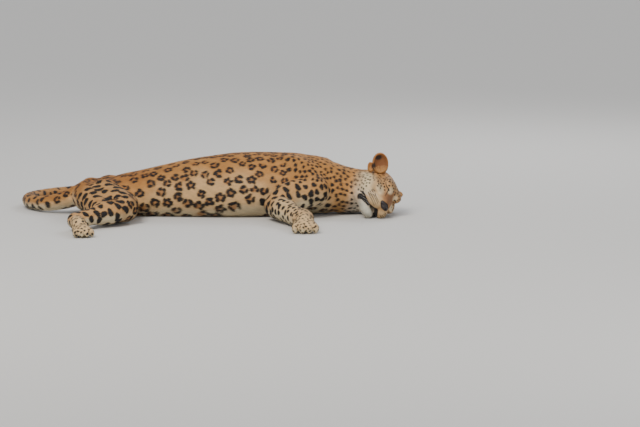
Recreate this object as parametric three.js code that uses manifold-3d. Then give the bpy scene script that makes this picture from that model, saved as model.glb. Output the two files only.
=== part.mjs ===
// A sleeping leopard, life size, in millimetres.
// +X points towards the head, +Y to the animal's left, +Z up, and it lies on the floor at Z = 0.
// Its flesh is one smooth field of bones and muscles, which is meshed part by part and parted by thin cuts.
import * as THREE from "three";
import { mergeVertices } from "three/addons/utils/BufferGeometryUtils.js";
import Module from "manifold-3d";

const wasm = await Module();
wasm.setup();

// Driving dimensions
const GAP = 0.3; // between neighbouring parts
const FAR = 3000; // larger than the animal
const FLESH_BLEND = 34; // how softly muscles run together
const LIMB_BLEND = 14;
const FACE_BLEND = 9;
const HEAD_AT = [503, -40, 84];
const HEAD_FORWARD = [0.17, -0.92, -0.29];
const HEAD_UP = [0.88, 0.0, 0.475];
const CHEST_TO_NECK = 322;
const BELLY_TO_CHEST = 84;
const HIPS_TO_BELLY = -290;
const TAIL_TO_HIPS = -574;
const SHOULDER_SIDE = 118; // how far out the upper arms part from the chest
const THIGH_SIDE = 112;
const MUZZLE_CUT = 58; // along the head, where the muzzle is parted from the skull
const EAR = { wide: 30, tall: 40, deep: 23, wall: 4.5, base: [-26, 66, 46] };
const POUCH = { wide: 13, tall: 19, deep: 11, at: [-10, 35, 1] }; // the small fold at the ear's rear edge
const EYE = { at: [60, 35, 42], deep: 13, wide: 20, tall: 15, sunk: 9 };
const SOCKET = { out: 21, radius: 24, blend: 10 };
const NOSE = { at: [112, 0, -3], size: [15, 21, 14] };
const LIP_GROOVE = 2.4;

// The trunk's outline from rump to shoulders: [X, back height, half width, underside]
const TRUNK = [
  [-592, 76, 34, 40],
  [-572, 92, 62, 24],
  [-520, 114, 94, 6],
  [-438, 144, 111, -8],
  [-356, 162, 112, -12],
  [-274, 181, 117, -14],
  [-192, 199, 128, -16],
  [-111, 212, 139, -16],
  [-29, 223, 146, -16],
  [54, 227, 144, -14],
  [136, 226, 133, -10],
  [218, 222, 117, -4],
  [275, 210, 103, 4],
  [322, 190, 88, 12],
  [350, 168, 62, 30],
];

const FORE = {
  right: {
    blade: [226, -66, 160],
    shoulder: [268, -106, 98],
    elbow: [136, -182, 52],
    wrist: [232, -386, 32],
    toes: [243, -524],
  },
  left: {
    blade: [226, 66, 153],
    shoulder: [268, 106, 92],
    elbow: [150, 176, 50],
    wrist: [318, 292, 32],
    toes: [424, 380],
  },
};
const HIND = {
  right: {
    hip: [-486, -78, 78],
    knee: [-396, -262, 54],
    hock: [-556, -434, 36],
    toes: [-506, -614],
  },
  left: {
    hip: [-480, 78, 74],
    knee: [-372, 218, 58],
    hock: [-548, 286, 38],
    toes: [-424, 412],
  },
};
const FORE_PAW = { long: 138, wide: 99, high: 48 };
const HIND_PAW = { long: 118, wide: 78, high: 42 };

// The tail's middle line and radii, from its root round behind the left hind leg
const TAIL = [
  [-540, 0, 84, 50],
  [-585, 2, 68, 41],
  [-640, 8, 48, 34],
  [-708, 36, 33, 30],
  [-764, 100, 28, 28],
  [-788, 184, 27, 27],
  [-770, 270, 26, 26],
  [-716, 346, 26, 26],
  [-650, 414, 25, 25],
  [-578, 468, 25, 24],
  [-502, 498, 24, 23],
  [-446, 500, 23, 20],
];

// Small vector helpers
const add = (a, b, s = 1) => [a[0] + s * b[0], a[1] + s * b[1], a[2] + s * b[2]];
const dot = (a, b) => a[0] * b[0] + a[1] * b[1] + a[2] * b[2];
const scale = (a, s) => [a[0] * s, a[1] * s, a[2] * s];
const norm = (a) => Math.sqrt(dot(a, a));
const unit = (a) => scale(a, 1 / norm(a));
const between = (a, b, t) => add(a, add(b, a, -1), t);
const cross = (a, b) => [
  a[1] * b[2] - a[2] * b[1],
  a[2] * b[0] - a[0] * b[2],
  a[0] * b[1] - a[1] * b[0],
];

// A frame of three unit axes with its origin: `ahead` and, squared to it, `up`
function frameOf(at, ahead, up) {
  const x = unit(ahead);
  const y = unit(cross(up, x));
  return { at, axes: [x, y, cross(x, y)] };
}
const toWorld = (f, p) =>
  p.reduce((sum, v, i) => add(sum, f.axes[i], v), f.at);
const toLocal = (f, p) => {
  const d = add(p, f.at, -1);
  return f.axes.map((axis) => dot(d, axis));
};
const WORLD = frameOf([0, 0, 0], [1, 0, 0], [0, 0, 1]);
const HEAD = frameOf(HEAD_AT, HEAD_FORWARD, HEAD_UP);

// Distance to a bar with round ends, whose radius runs from ra to rb
function bar(a, b, ra, rb) {
  const ab = add(b, a, -1);
  const long2 = dot(ab, ab);
  return (p) => {
    const ap = add(p, a, -1);
    const t = Math.min(1, Math.max(0, dot(ap, ab) / long2));
    return norm(add(ap, ab, -t)) - ra - (rb - ra) * t;
  };
}

// Near distance to an ellipsoid with radii r along the axes of frame f
function lump(f, c, r) {
  const own = { at: toWorld(f, c), axes: f.axes };
  return (p) => {
    const q = toLocal(own, p);
    const k0 = norm(q.map((v, i) => v / r[i]));
    const k1 = norm(q.map((v, i) => v / (r[i] * r[i])));
    return k1 < 1e-9 ? -Math.min(...r) : (k0 * (k0 - 1)) / k1;
  };
}

// Smooth union of two distances
function soften(a, b, k) {
  const h = Math.max(0, k - Math.abs(a - b)) / k;
  return Math.min(a, b) - h * h * k * 0.25;
}
const merge = (parts, k) => (p) =>
  parts.reduce((d, part) => soften(d, part(p), k), 1e6);

// The slope of a field
function slopeOf(field, p) {
  const e = 0.5;
  return [0, 1, 2].map((i) => {
    const q = [...p];
    q[i] += e;
    const high = field(q);
    q[i] -= 2 * e;
    return (high - field(q)) / (2 * e);
  });
}

// Brings a point onto the field's surface
function onSurface(field, p, steps = 3) {
  let q = p;
  for (let n = 0; n < steps; n++) {
    const g = slopeOf(field, q);
    q = add(q, g, -field(q) / Math.max(0.05, dot(g, g)));
  }
  return q;
}

// A table's row at x, on a smooth curve through its rows
function rowAt(table, x) {
  const last = table.length - 2;
  let i = 0;
  while (i < last && x > table[i + 1][0]) i++;
  const row = (n) => table[Math.min(table.length - 1, Math.max(0, n))];
  const [p0, p1, p2, p3] = [row(i - 1), row(i), row(i + 1), row(i + 2)];
  const t = Math.min(1, Math.max(0, (x - p1[0]) / (p2[0] - p1[0])));
  return p1.map(
    (v, n) =>
      v +
      0.5 *
        t *
        (p2[n] - p0[n] +
          t * (2 * p0[n] - 5 * v + 4 * p2[n] - p3[n] + t * (3 * (v - p2[n]) + p3[n] - p0[n]))),
  );
}

// The trunk: a section with a narrow back and a broad, low belly at every X
const BELLY_LEVEL = 0.4; // of the height, where the section is widest
const SECTION_POWER = 2.25;
function trunk(p) {
  const x = Math.min(TRUNK.at(-1)[0], Math.max(TRUNK[0][0], p[0]));
  const [, back, half, under] = rowAt(TRUNK, x);
  const mid = under + (back - under) * BELLY_LEVEL;
  const reach = p[2] > mid ? back - mid : mid - under;
  const qy = Math.abs(p[1]) / half;
  const qz = Math.abs(p[2] - mid) / reach;
  const n = SECTION_POWER;
  const k = Math.max(1e-6, (qy ** n + qz ** n) ** (1 / n));
  const slope = k ** (1 - n) * Math.hypot(qy ** (n - 1) / half, qz ** (n - 1) / reach);
  const flat = k < 0.2 ? -0.8 * Math.min(half, reach) : (k - 1) / slope;
  const past = Math.abs(p[0] - x);
  return past > 0 ? Math.hypot(Math.max(0, flat), past) + Math.min(0, flat) : flat;
}

// A paw lying flat from its joint towards its toes: palm, knuckles and four toes
function paw(joint, toes, size) {
  const ahead = unit([toes[0] - joint[0], toes[1] - joint[1], 0]);
  const f = frameOf([joint[0], joint[1], 0], ahead, [0, 0, 1]);
  const { long, wide, high } = size;
  const reach = norm(toLocal(f, [toes[0], toes[1], 0]));
  const start = reach - long;
  const palm = [
    lump(f, [start + 0.34 * long, 0, 0.46 * high], [0.4 * long, 0.4 * wide, 0.48 * high]),
    lump(f, [start + 0.58 * long, 0, 0.5 * high], [0.3 * long, 0.45 * wide, 0.46 * high]),
  ];
  const spread = [-0.36, -0.125, 0.125, 0.36];
  const digits = spread.map((s) =>
    lump(
      f,
      [start + (0.845 - 0.6 * s * s) * long, s * wide, 0.36 * high],
      [0.165 * long, 0.135 * wide, 0.38 * high],
    ),
  );
  return [merge(palm, LIMB_BLEND), merge(digits, 3)];
}

function foreleg(leg) {
  const { blade, shoulder, elbow, wrist, toes } = leg;
  const arm = frameOf(between(shoulder, elbow, 0.52), add(elbow, shoulder, -1), [0, 0, 1]);
  const fore = frameOf(between(elbow, wrist, 0.26), add(wrist, elbow, -1), [0, 0, 1]);
  return [
    lump(frameOf(blade, [0.8, 0, -0.6], [0.6, 0, 0.8]), [-6, 0, -4], [78, 42, 46]),
    bar(blade, shoulder, 44, 56),
    bar(shoulder, elbow, 56, 44),
    lump(arm, [8, 0, 16], [96, 46, 54]),
    bar(elbow, wrist, 43, 37),
    lump(fore, [0, 0, 3], [82, 48, 42]),
    bar(wrist, [...between(wrist, [...toes, 24], 0.35).slice(0, 2), 28], 37, 33),
    merge(paw(wrist, toes, FORE_PAW), 8),
  ];
}

function hindleg(leg) {
  const { hip, knee, hock, toes } = leg;
  const thigh = frameOf(between(hip, knee, 0.45), add(knee, hip, -1), [0, 0, 1]);
  const calf = frameOf(between(knee, hock, 0.28), add(hock, knee, -1), [0, 0, 1]);
  const seat = [hip[0] - 62, hip[1] * 0.86, hip[2] - 4];
  const ankle = between(hock, [...toes, 30], 0.45);
  return [
    lump(thigh, [-4, 0, -2], [124, 86, 51]),
    bar(hip, knee, 60, 47),
    bar(seat, between(knee, hock, 0.42), 56, 37),
    bar(knee, hock, 43, 28),
    lump(calf, [0, 0, 0], [96, 56, 43]),
    bar(hock, ankle, 26, 27),
    merge(paw(ankle, toes, HIND_PAW), 8),
  ];
}

// Rows of a smooth curve through a list of rows
const CLOSER = 4; // new rows to each old one
function smoothed(rows) {
  const row = (n) => rows[Math.min(rows.length - 1, Math.max(0, n))];
  return Array.from({ length: (rows.length - 1) * CLOSER + 1 }, (_, n) => {
    const i = Math.floor(n / CLOSER);
    const t = n / CLOSER - i;
    const [p0, p1, p2, p3] = [row(i - 1), row(i), row(i + 1), row(i + 2)];
    return p1.map((v, k) => {
      const bend = 2 * p0[k] - 5 * v + 4 * p2[k] - p3[k] + t * (3 * (v - p2[k]) + p3[k] - p0[k]);
      return v + 0.5 * t * (p2[k] - p0[k] + t * bend);
    });
  });
}

function tailField() {
  const rows = smoothed(TAIL);
  const rods = rows.slice(1).map((end, i) => {
    const start = rows[i];
    return bar(start.slice(0, 3), end.slice(0, 3), start[3], end[3]);
  });
  return (p) => Math.min(...rods.map((rod) => rod(p)));
}

function neckField() {
  return merge(
    [
      bar([296, 0, 108], [372, 6, 88], 93, 80),
      bar([372, 6, 88], [436, 14, 81], 80, 72),
      bar([436, 14, 81], [470, 18, 80], 72, 62),
    ],
    30,
  );
}

// Both sides of a feature of the head
const sides = (make) => [make(1), make(-1)];
const inHead = (c, r) => lump(HEAD, c, r);
const headBar = (a, b, ra, rb) => bar(toWorld(HEAD, a), toWorld(HEAD, b), ra, rb);

function headField() {
  const skull = merge(
    [
      inHead([-24, 0, 14], [71, 64, 56]),
      inHead([27, 0, 29], [50, 48, 37]),
      inHead([-62, 0, -4], [46, 60, 56]),
      ...sides((s) => inHead([6, s * 46, -16], [56, 33, 42])),
      ...sides((s) => inHead([-22, s * 46, -30], [50, 34, 44])),
    ],
    24,
  );
  const muzzle = merge(
    [
      inHead([70, 0, -11], [51, 42, 36]),
      ...sides((s) => headBar([40, s * 11, 32], [107, s * 9, 5], 18, 13)),
      ...sides((s) => inHead([94, s * 22, -24], [30, 27, 23])),
      ...sides((s) => inHead([70, s * 31, -34], [38, 20, 19])),
    ],
    FACE_BLEND,
  );
  const brows = merge(
    [
      ...sides((s) => inHead([40, s * 31, 50], [25, 21, 14])),
      ...sides((s) => inHead([46, s * 46, 6], [36, 24, 21])),
    ],
    FACE_BLEND,
  );
  const jaw = merge(
    [
      inHead([86, 0, -68], [24, 24, 18]),
      ...sides((s) => headBar([80, s * 14, -67], [2, s * 38, -58], 17, 27)),
    ],
    12,
  );
  const face = (p) => soften(soften(skull(p), soften(muzzle(p), brows(p), 14), 18), jaw(p), 7);
  const sockets = sides((s) => {
    const at = [EYE.at[0], s * EYE.at[1], EYE.at[2]];
    const spot = onSurface(face, toWorld(HEAD, at), 6);
    const hollow = add(spot, unit(slopeOf(face, spot)), SOCKET.out);
    return (p) => norm(add(p, hollow, -1)) - SOCKET.radius;
  });
  return (p) => -sockets.reduce((d, ball) => soften(d, ball(p), SOCKET.blend), -face(p));
}

// The whole flesh
const headOnly = headField();
const headAndNeck = (p) => soften(headOnly(p), neckField()(p), 26);
const limbs = [foreleg(FORE.right), foreleg(FORE.left), hindleg(HIND.right), hindleg(HIND.left)];
const limbFields = limbs.map((parts) => merge(parts, LIMB_BLEND));
const neckPart = neckField();
const tailPart = tailField();
function flesh(p) {
  let d = soften(trunk(p), soften(headOnly(p), neckPart(p), 26), FLESH_BLEND);
  d = soften(d, tailPart(p), 26);
  for (const limb of limbFields) d = soften(d, limb(p), 28);
  return d;
}

const solidOf = (positions, triangles) =>
  new wasm.Manifold(
    new wasm.Mesh({
      numProp: 3,
      vertProperties: Float32Array.from(positions),
      triVerts: Uint32Array.from(triangles),
    }),
  );

// A grid of field values over a box of frame f, with its rim kept outside
function gridOf(field, f, low, high, steps) {
  const count = low.map((v, i) => Math.ceil((high[i] - v) / steps[i]) + 1);
  const index = (i, j, k) => i + count[0] * (j + count[1] * k);
  const cornerAt = (i, j, k) => [low[0] + i * steps[0], low[1] + j * steps[1], low[2] + k * steps[2]];
  const values = new Float64Array(count[0] * count[1] * count[2]);
  const edge = (i, n) => i === 0 || i === n - 1;
  for (let k = 0; k < count[2]; k++)
    for (let j = 0; j < count[1]; j++)
      for (let i = 0; i < count[0]; i++) {
        const rim = edge(i, count[0]) || edge(j, count[1]) || edge(k, count[2]);
        const value = field(toWorld(f, cornerAt(i, j, k)));
        values[index(i, j, k)] = rim ? Math.max(value, 0.5) : value || 1e-6;
      }
  return { count, index, cornerAt, values };
}

// The corners of a cell, and whether those of one sign hang together along its edges
const CORNERS = Array.from({ length: 8 }, (_, n) => [n & 1, (n >> 1) & 1, n >> 2]);
function oneBody(signs, sign) {
  const members = CORNERS.map((_, n) => n).filter((n) => signs[n] === sign);
  if (members.length === 0) return true;
  const seen = new Set([members[0]]);
  const queue = [members[0]];
  while (queue.length > 0) {
    const n = queue.pop();
    for (const bit of [1, 2, 4]) {
      const m = n ^ bit;
      if (signs[m] !== sign || seen.has(m)) continue;
      seen.add(m);
      queue.push(m);
    }
  }
  return seen.size === members.length;
}
const faceIsSplit = (signs) =>
  [1, 2, 4].some((bit) =>
    [0, bit].some((level) => {
      const [u, w] = [1, 2, 4].filter((other) => other !== bit);
      const face = [level, level | u, level | u | w, level | w].map((n) => signs[n]);
      return face[0] === face[2] && face[1] === face[3] && face[0] !== face[1];
    }),
  );

// Fills in grid corners where two sheets of skin would meet inside one cell
function closeClefts({ count, index, values }) {
  let filled = true;
  while (filled) {
    filled = false;
    for (let k = 0; k < count[2] - 1; k++)
      for (let j = 0; j < count[1] - 1; j++)
        for (let i = 0; i < count[0] - 1; i++) {
          const keys = CORNERS.map(([a, b, c]) => index(i + a, j + b, k + c));
          const signs = keys.map((key) => values[key] < 0);
          if (oneBody(signs, true) && oneBody(signs, false) && !faceIsSplit(signs)) continue;
          const open = keys.filter((key) => values[key] >= 0);
          const nearest = open.reduce((a, b) => (values[b] < values[a] ? b : a));
          values[nearest] = -0.5;
          filled = true;
        }
  }
}

// Meshes the field inside a box of frame f, one vertex for each cell that the surface crosses
function meshed(field, f, low, high, steps) {
  const grid = gridOf(field, f, low, high, steps);
  closeClefts(grid);
  const { count, index, cornerAt, values } = grid;
  const vertexOf = new Map();
  const positions = [];
  const cellVertex = (i, j, k) => {
    const key = index(i, j, k);
    if (vertexOf.has(key)) return vertexOf.get(key);
    let sum = [0, 0, 0];
    let crossings = 0;
    for (let axis = 0; axis < 3; axis++)
      for (let n = 0; n < 4; n++) {
        const a = [i, j, k];
        a[(axis + 1) % 3] += n & 1;
        a[(axis + 2) % 3] += n >> 1;
        const b = [...a];
        b[axis] += 1;
        const va = values[index(...a)];
        const vb = values[index(...b)];
        if (va < 0 === vb < 0) continue;
        sum = add(sum, between(cornerAt(...a), cornerAt(...b), va / (va - vb)));
        crossings++;
      }
    const rough = toWorld(f, scale(sum, 1 / crossings));
    const near = onSurface(field, rough);
    const limit = 0.45 * Math.min(...steps);
    const move = add(near, rough, -1);
    const placed = add(rough, move, Math.min(1, limit / Math.max(1e-6, norm(move))));
    vertexOf.set(key, positions.length / 3);
    positions.push(...placed);
    return vertexOf.get(key);
  };
  const triangles = [];
  for (let k = 0; k < count[2] - 1; k++)
    for (let j = 0; j < count[1] - 1; j++)
      for (let i = 0; i < count[0] - 1; i++)
        for (let axis = 0; axis < 3; axis++) {
          const c = [i, j, k];
          const d = [...c];
          d[axis] += 1;
          const u = (axis + 1) % 3;
          const w = (axis + 2) % 3;
          if (c[u] === 0 || c[w] === 0) continue;
          const inside = values[index(...c)] < 0;
          if (inside === values[index(...d)] < 0) continue;
          const ring = [[0, 0], [1, 0], [1, 1], [0, 1]].map(([du, dw]) => {
            const cell = [...c];
            cell[u] -= du;
            cell[w] -= dw;
            return cellVertex(...cell);
          });
          if (inside) ring.reverse();
          const [a, b, e, g] = ring;
          triangles.push(a, e, b, a, g, e);
        }
  return solidOf(positions, triangles);
}

// A three.js geometry as a solid, placed by a matrix
function solidFrom(geometry, matrix = new THREE.Matrix4()) {
  const bare = geometry.clone().applyMatrix4(matrix);
  bare.deleteAttribute("normal");
  bare.deleteAttribute("uv");
  const merged = mergeVertices(bare, 1e-3);
  return solidOf(merged.attributes.position.array, merged.index.array);
}

// A solid moved by a matrix
function solidFromMesh(solid, matrix) {
  const { vertProperties, numProp, triVerts } = solid.getMesh();
  const positions = [];
  for (let i = 0; i < vertProperties.length; i += numProp) {
    const p = new THREE.Vector3(...vertProperties.subarray(i, i + 3)).applyMatrix4(matrix);
    positions.push(p.x, p.y, p.z);
  }
  return solidOf(positions, triVerts);
}

const matrixOf = (f) =>
  new THREE.Matrix4()
    .makeBasis(...f.axes.map((a) => new THREE.Vector3(...a)))
    .setPosition(...f.at);

// The half of space that starts at a point and lies along a direction
function halfSpace(at, along) {
  const up = Math.abs(unit(along)[2]) > 0.9 ? [1, 0, 0] : [0, 0, 1];
  const f = frameOf(at, along, up);
  const box = new THREE.BoxGeometry(FAR, 2 * FAR, 2 * FAR).translate(FAR / 2, 0, 0);
  return solidFrom(box, matrixOf(f));
}

// The side of a cut that lies along a direction, drawn back by half the gap
const beyond = (at, along) => halfSpace(add(at, unit(along), GAP / 2), along);
const within = (solid, ...regions) => regions.reduce((s, r) => s.intersect(r), solid);
const FLOOR = [0, 0, 0];
const aboveFloor = halfSpace(FLOOR, [0, 0, 1]);

// Keeps the largest closed surface of a solid
function largest(solid) {
  const bodies = solid.decompose();
  return bodies.reduce((a, b) => (b.volume() > a.volume() ? b : a));
}

// An ellipsoid of the head, as a mesh
function headBall(c, r, across = 14, around = 10, turn = [0, 0, 0]) {
  const ball = new THREE.SphereGeometry(1, across, around);
  ball.scale(...r).rotateX(turn[0]).rotateY(turn[1]).rotateZ(turn[2]).translate(...c);
  return solidFrom(ball, matrixOf(HEAD));
}

// Trunk, upper arms and thighs in one coarse mesh
const bodyMesh = within(
  meshed(flesh, WORLD, [-640, -330, -40], [360, 320, 268], [46, 26, 24]),
  aboveFloor,
);
const forward = [1, 0, 0];
const back = [-1, 0, 0];
const out = (s) => [0, s, 0];

const cuts = {
  neckFore: (d) => beyond([CHEST_TO_NECK, 0, 0], d),
  chestRear: (d) => beyond([BELLY_TO_CHEST, 0, 0], d),
  bellyRear: (d) => beyond([HIPS_TO_BELLY, 0, 0], d),
  tailRoot: (d) => beyond([TAIL_TO_HIPS, 0, 0], d),
  shoulder: (s, d) => beyond([0, s * SHOULDER_SIDE, 0], scale(out(s), d)),
  thigh: (s, d) => beyond([0, s * THIGH_SIDE, 0], scale(out(s), d)),
  // the tail swings to the left, so a slanted cut keeps it clear of that thigh
  tailSide: (d) => beyond([TAIL_TO_HIPS, THIGH_SIDE, 0], scale([-0.6, -0.8, 0], d)),
};

const solids = {};
solids.chest = within(
  bodyMesh,
  cuts.neckFore(back),
  cuts.chestRear(forward),
  cuts.shoulder(1, -1),
  cuts.shoulder(-1, -1),
);
solids.belly = within(bodyMesh, cuts.chestRear(back), cuts.bellyRear(forward));
solids.hips = within(
  bodyMesh,
  cuts.bellyRear(back),
  cuts.tailRoot(forward),
  cuts.thigh(1, -1),
  cuts.thigh(-1, -1),
);

// A limb's lower length, meshed along its own axis between two cuts
function limbLength(a, b, half, steps, ...regions) {
  const f = frameOf([a[0], a[1], 0], [b[0] - a[0], b[1] - a[1], 0], [0, 0, 1]);
  const long = norm(toLocal(f, [b[0], b[1], 0]));
  const low = [-60, -half, -20];
  const high = [long + 60, half, 140];
  return within(meshed(flesh, f, low, high, steps), aboveFloor, ...regions);
}

// The level direction of the cut that halves the bend of a limb at a joint
function bendWay(above, joint, below) {
  const up = unit([above[0] - joint[0], above[1] - joint[1], 0]);
  const down = unit([below[0] - joint[0], below[1] - joint[1], 0]);
  return unit(add(down, up, -1));
}

for (const [side, s] of [["right", -1], ["left", 1]]) {
  const { shoulder, elbow, wrist, toes } = FORE[side];
  const elbowWay = bendWay(shoulder, elbow, wrist);
  const wristWay = bendWay(elbow, wrist, toes);
  solids[`foreleg_${side}_upper`] = within(
    bodyMesh,
    cuts.shoulder(s, 1),
    cuts.chestRear(forward),
    cuts.neckFore(back),
    beyond(elbow, scale(elbowWay, -1)),
  );
  solids[`foreleg_${side}_lower`] = limbLength(
    elbow,
    wrist,
    90,
    [34, 18, 17],
    beyond(elbow, elbowWay),
    beyond(wrist, scale(wristWay, -1)),
  );
  solids[`forepaw_${side}`] = limbLength(wrist, toes, 76, [13, 12, 12], beyond(wrist, wristWay));

  const { hip, knee, hock, toes: tips } = HIND[side];
  const kneeWay = bendWay(hip, knee, hock);
  const hockWay = bendWay(knee, hock, tips);
  solids[`hindleg_${side}_upper`] = within(
    bodyMesh,
    cuts.thigh(s, 1),
    cuts.bellyRear(back),
    beyond(knee, scale(kneeWay, -1)),
    ...(s > 0 ? [cuts.tailSide(-1)] : []),
  );
  solids[`hindleg_${side}_lower`] = limbLength(
    knee,
    hock,
    130,
    [34, 19, 17],
    beyond(knee, kneeWay),
    beyond(hock, scale(hockWay, -1)),
  );
  solids[`hindpaw_${side}`] = limbLength(hock, tips, 66, [14, 11.5, 12], beyond(hock, hockWay));
}

// The tail in three lengths
const tailLengths = [
  ["tail_root", 1, 4],
  ["tail_middle", 4, 8],
  ["tail_tip", 8, 11],
];
function tailCut(n, sign) {
  const at = TAIL[n].slice(0, 3);
  const way = add(TAIL[n + 1].slice(0, 3), TAIL[n - 1].slice(0, 3), -1);
  return beyond([at[0], at[1], 0], scale([way[0], way[1], 0], sign));
}
for (const [name, first, last] of tailLengths) {
  const points = TAIL.slice(first, last + 1);
  const low = [0, 1].map((i) => Math.min(...points.map((p) => p[i])) - 60);
  const high = [0, 1].map((i) => Math.max(...points.map((p) => p[i])) + 60);
  const mesh = meshed(flesh, WORLD, [...low, -20], [...high, 140], [25, 25, 18]);
  const regions = [aboveFloor];
  if (first === 1) regions.push(cuts.tailRoot(back), cuts.tailSide(1));
  else regions.push(tailCut(first, 1));
  if (last < TAIL.length - 1) regions.push(tailCut(last, -1));
  solids[name] = largest(within(mesh, ...regions));
}

// Head, muzzle and neck
const headWay = (d) => add(toWorld(HEAD, d), HEAD.at, -1);
const neckCutAt = toWorld(HEAD, [-66, 0, -44]);
const neckWay = headWay([0.86, 0, 0.5]);
const muzzleCutAt = toWorld(HEAD, [MUZZLE_CUT, 0, 0]);
solids.neck = within(
  meshed(flesh, WORLD, [290, -140, -20], [580, 140, 220], [27, 23, 22]),
  aboveFloor,
  cuts.neckFore(forward),
  beyond(neckCutAt, scale(neckWay, -1)),
);
let head = within(
  meshed(flesh, HEAD, [-140, -104, -124], [90, 104, 104], [18, 17.5, 17]),
  beyond(neckCutAt, neckWay),
  beyond(muzzleCutAt, headWay([-1, 0, 0])),
);
let muzzle = within(
  meshed(flesh, HEAD, [40, -76, -104], [140, 76, 80], [9.2, 9.1, 9.1]),
  beyond(muzzleCutAt, headWay([1, 0, 0])),
);

// An ear: a rounded cup, open towards `facing`, that grows along `along`
const moved = (solid, d) => solidFromMesh(solid, new THREE.Matrix4().setPosition(...d));
function cupOf(f, size, at) {
  const shell = (grow) =>
    new THREE.SphereGeometry(1, 13, 7).scale(size.tall - grow, size.wide - grow, size.deep - grow);
  const outer = solidFrom(shell(0).translate(...at), matrixOf(f));
  const bowl = shell(EAR.wall).translate(at[0] + 2, at[1], at[2] + 0.6 * size.deep);
  return outer.subtract(solidFrom(bowl, matrixOf(f)));
}
function ear(s, along, facing) {
  const root = toWorld(HEAD, [EAR.base[0], s * EAR.base[1], EAR.base[2]]);
  const f = frameOf(add(root, headWay(along), 0.5 * EAR.tall), headWay(along), headWay(facing));
  const pouch = [POUCH.at[0], -s * POUCH.at[1], POUCH.at[2]];
  const body = cupOf(f, EAR, [0, 0, 0]).add(cupOf(f, POUCH, pouch));
  return { body, rootCut: add(root, f.axes[0], 0.13 * EAR.tall), way: f.axes[0] };
}
const ears = {
  right: ear(-1, [-0.25, -0.86, 0.42], [0.88, -0.42, 0.22]),
  left: ear(1, [-0.75, 0.58, -0.2], [0.5, 0.75, 0.3]),
};
for (const [side, { body, rootCut, way }] of Object.entries(ears)) {
  const free = within(body, beyond(rootCut, way), aboveFloor);
  const nudges = WORLD.axes.flatMap((axis) => [scale(axis, GAP), scale(axis, -GAP)]);
  solids[`ear_${side}`] = largest(nudges.reduce((e, d) => e.subtract(moved(head, d)), free));
}
for (const { body, rootCut, way } of Object.values(ears))
  head = head.add(within(body, beyond(rootCut, scale(way, -1))));

// Closed eyes: domes of lid with the slit between the lids as a groove
for (const [side, s] of [["right", -1], ["left", 1]]) {
  const rough = toWorld(HEAD, [EYE.at[0], s * EYE.at[1], EYE.at[2]]);
  const spot = onSurface(headOnly, rough, 6);
  const way = unit(slopeOf(headOnly, spot));
  const f = frameOf(add(spot, way, -EYE.sunk), way, HEAD.axes[2]);
  const dome = (grow) =>
    solidFrom(
      new THREE.SphereGeometry(1, 12, 8).scale(EYE.deep + grow, EYE.wide + grow, EYE.tall + grow),
      matrixOf(f),
    );
  const slit = new THREE.TorusGeometry(1, 0.085, 4, 18);
  slit.scale(EYE.deep, EYE.wide, EYE.deep).translate(0, 0, -0.2 * EYE.tall);
  solids[`eye_${side}`] = largest(dome(0).subtract(solidFrom(slit, matrixOf(f))));
  head = head.subtract(dome(GAP));
  muzzle = muzzle.subtract(dome(GAP));
}

// The nose leather with its two nostrils
const noseBall = (grow) => headBall(NOSE.at, NOSE.size.map((v) => v + grow), 14, 10);
const nostrils = sides((s) => headBall([126, s * 8.5, -5], [6.5, 4.6, 3.8], 8, 6, [0, 0, s * 0.5]));
solids.nose = largest(nostrils.reduce((n, hole) => n.subtract(hole), noseBall(0)));
muzzle = muzzle.subtract(noseBall(GAP));

// The line of the mouth: a groove that follows the face between corners
const LIP_LINE = [
  [40, -52, -50],
  [62, -48, -52],
  [88, -38, -50],
  [108, -20, -43],
  [116, 0, -36],
  [108, 20, -43],
  [88, 38, -50],
  [62, 48, -52],
  [40, 52, -50],
];
const LIP_SIDES = 5;
const lipPath = new THREE.CatmullRomCurve3(
  LIP_LINE.map((p) => new THREE.Vector3(...onSurface(headOnly, toWorld(HEAD, p), 6))),
);
const lipSection = new THREE.Shape(
  Array.from({ length: LIP_SIDES }, (_, i) => {
    const turn = (i / LIP_SIDES) * 2 * Math.PI;
    return new THREE.Vector2(LIP_GROOVE * Math.cos(turn), LIP_GROOVE * Math.sin(turn));
  }),
);
const groove = new THREE.ExtrudeGeometry(lipSection, { steps: 22, extrudePath: lipPath });
head = head.subtract(solidFrom(groove));
muzzle = muzzle.subtract(solidFrom(groove));
solids.head = largest(within(head, aboveFloor));
solids.muzzle = largest(within(muzzle, aboveFloor));

// Materials
const COAT = { color: 0xb98a52, roughness: 0.85, metalness: 0 };
const PALE = { color: 0xcdbb9a, roughness: 0.85, metalness: 0 };
const finishes = {
  coat: new THREE.MeshStandardMaterial(COAT),
  pale: new THREE.MeshStandardMaterial(PALE),
  ear: new THREE.MeshStandardMaterial({ color: 0x6b4a2c, roughness: 0.85, metalness: 0 }),
  nose: new THREE.MeshStandardMaterial({ color: 0x3a2622, roughness: 0.5, metalness: 0 }),
  lids: new THREE.MeshStandardMaterial({ color: 0x8a6a45, roughness: 0.8, metalness: 0 }),
};
function finishOf(name) {
  if (name.startsWith("ear")) return finishes.ear;
  if (name.startsWith("eye")) return finishes.lids;
  if (name === "nose") return finishes.nose;
  return name.includes("paw") ? finishes.pale : finishes.coat;
}

function geometryOf(solid) {
  const mesh = solid.getMesh();
  const positions = new Float32Array(mesh.numVert * 3);
  for (let i = 0; i < mesh.numVert; i++)
    positions.set(mesh.vertProperties.subarray(i * mesh.numProp, i * mesh.numProp + 3), i * 3);
  const geometry = new THREE.BufferGeometry();
  geometry.setAttribute("position", new THREE.BufferAttribute(positions, 3));
  geometry.setIndex(new THREE.BufferAttribute(mesh.triVerts, 1));
  geometry.computeVertexNormals();
  return geometry;
}

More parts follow.
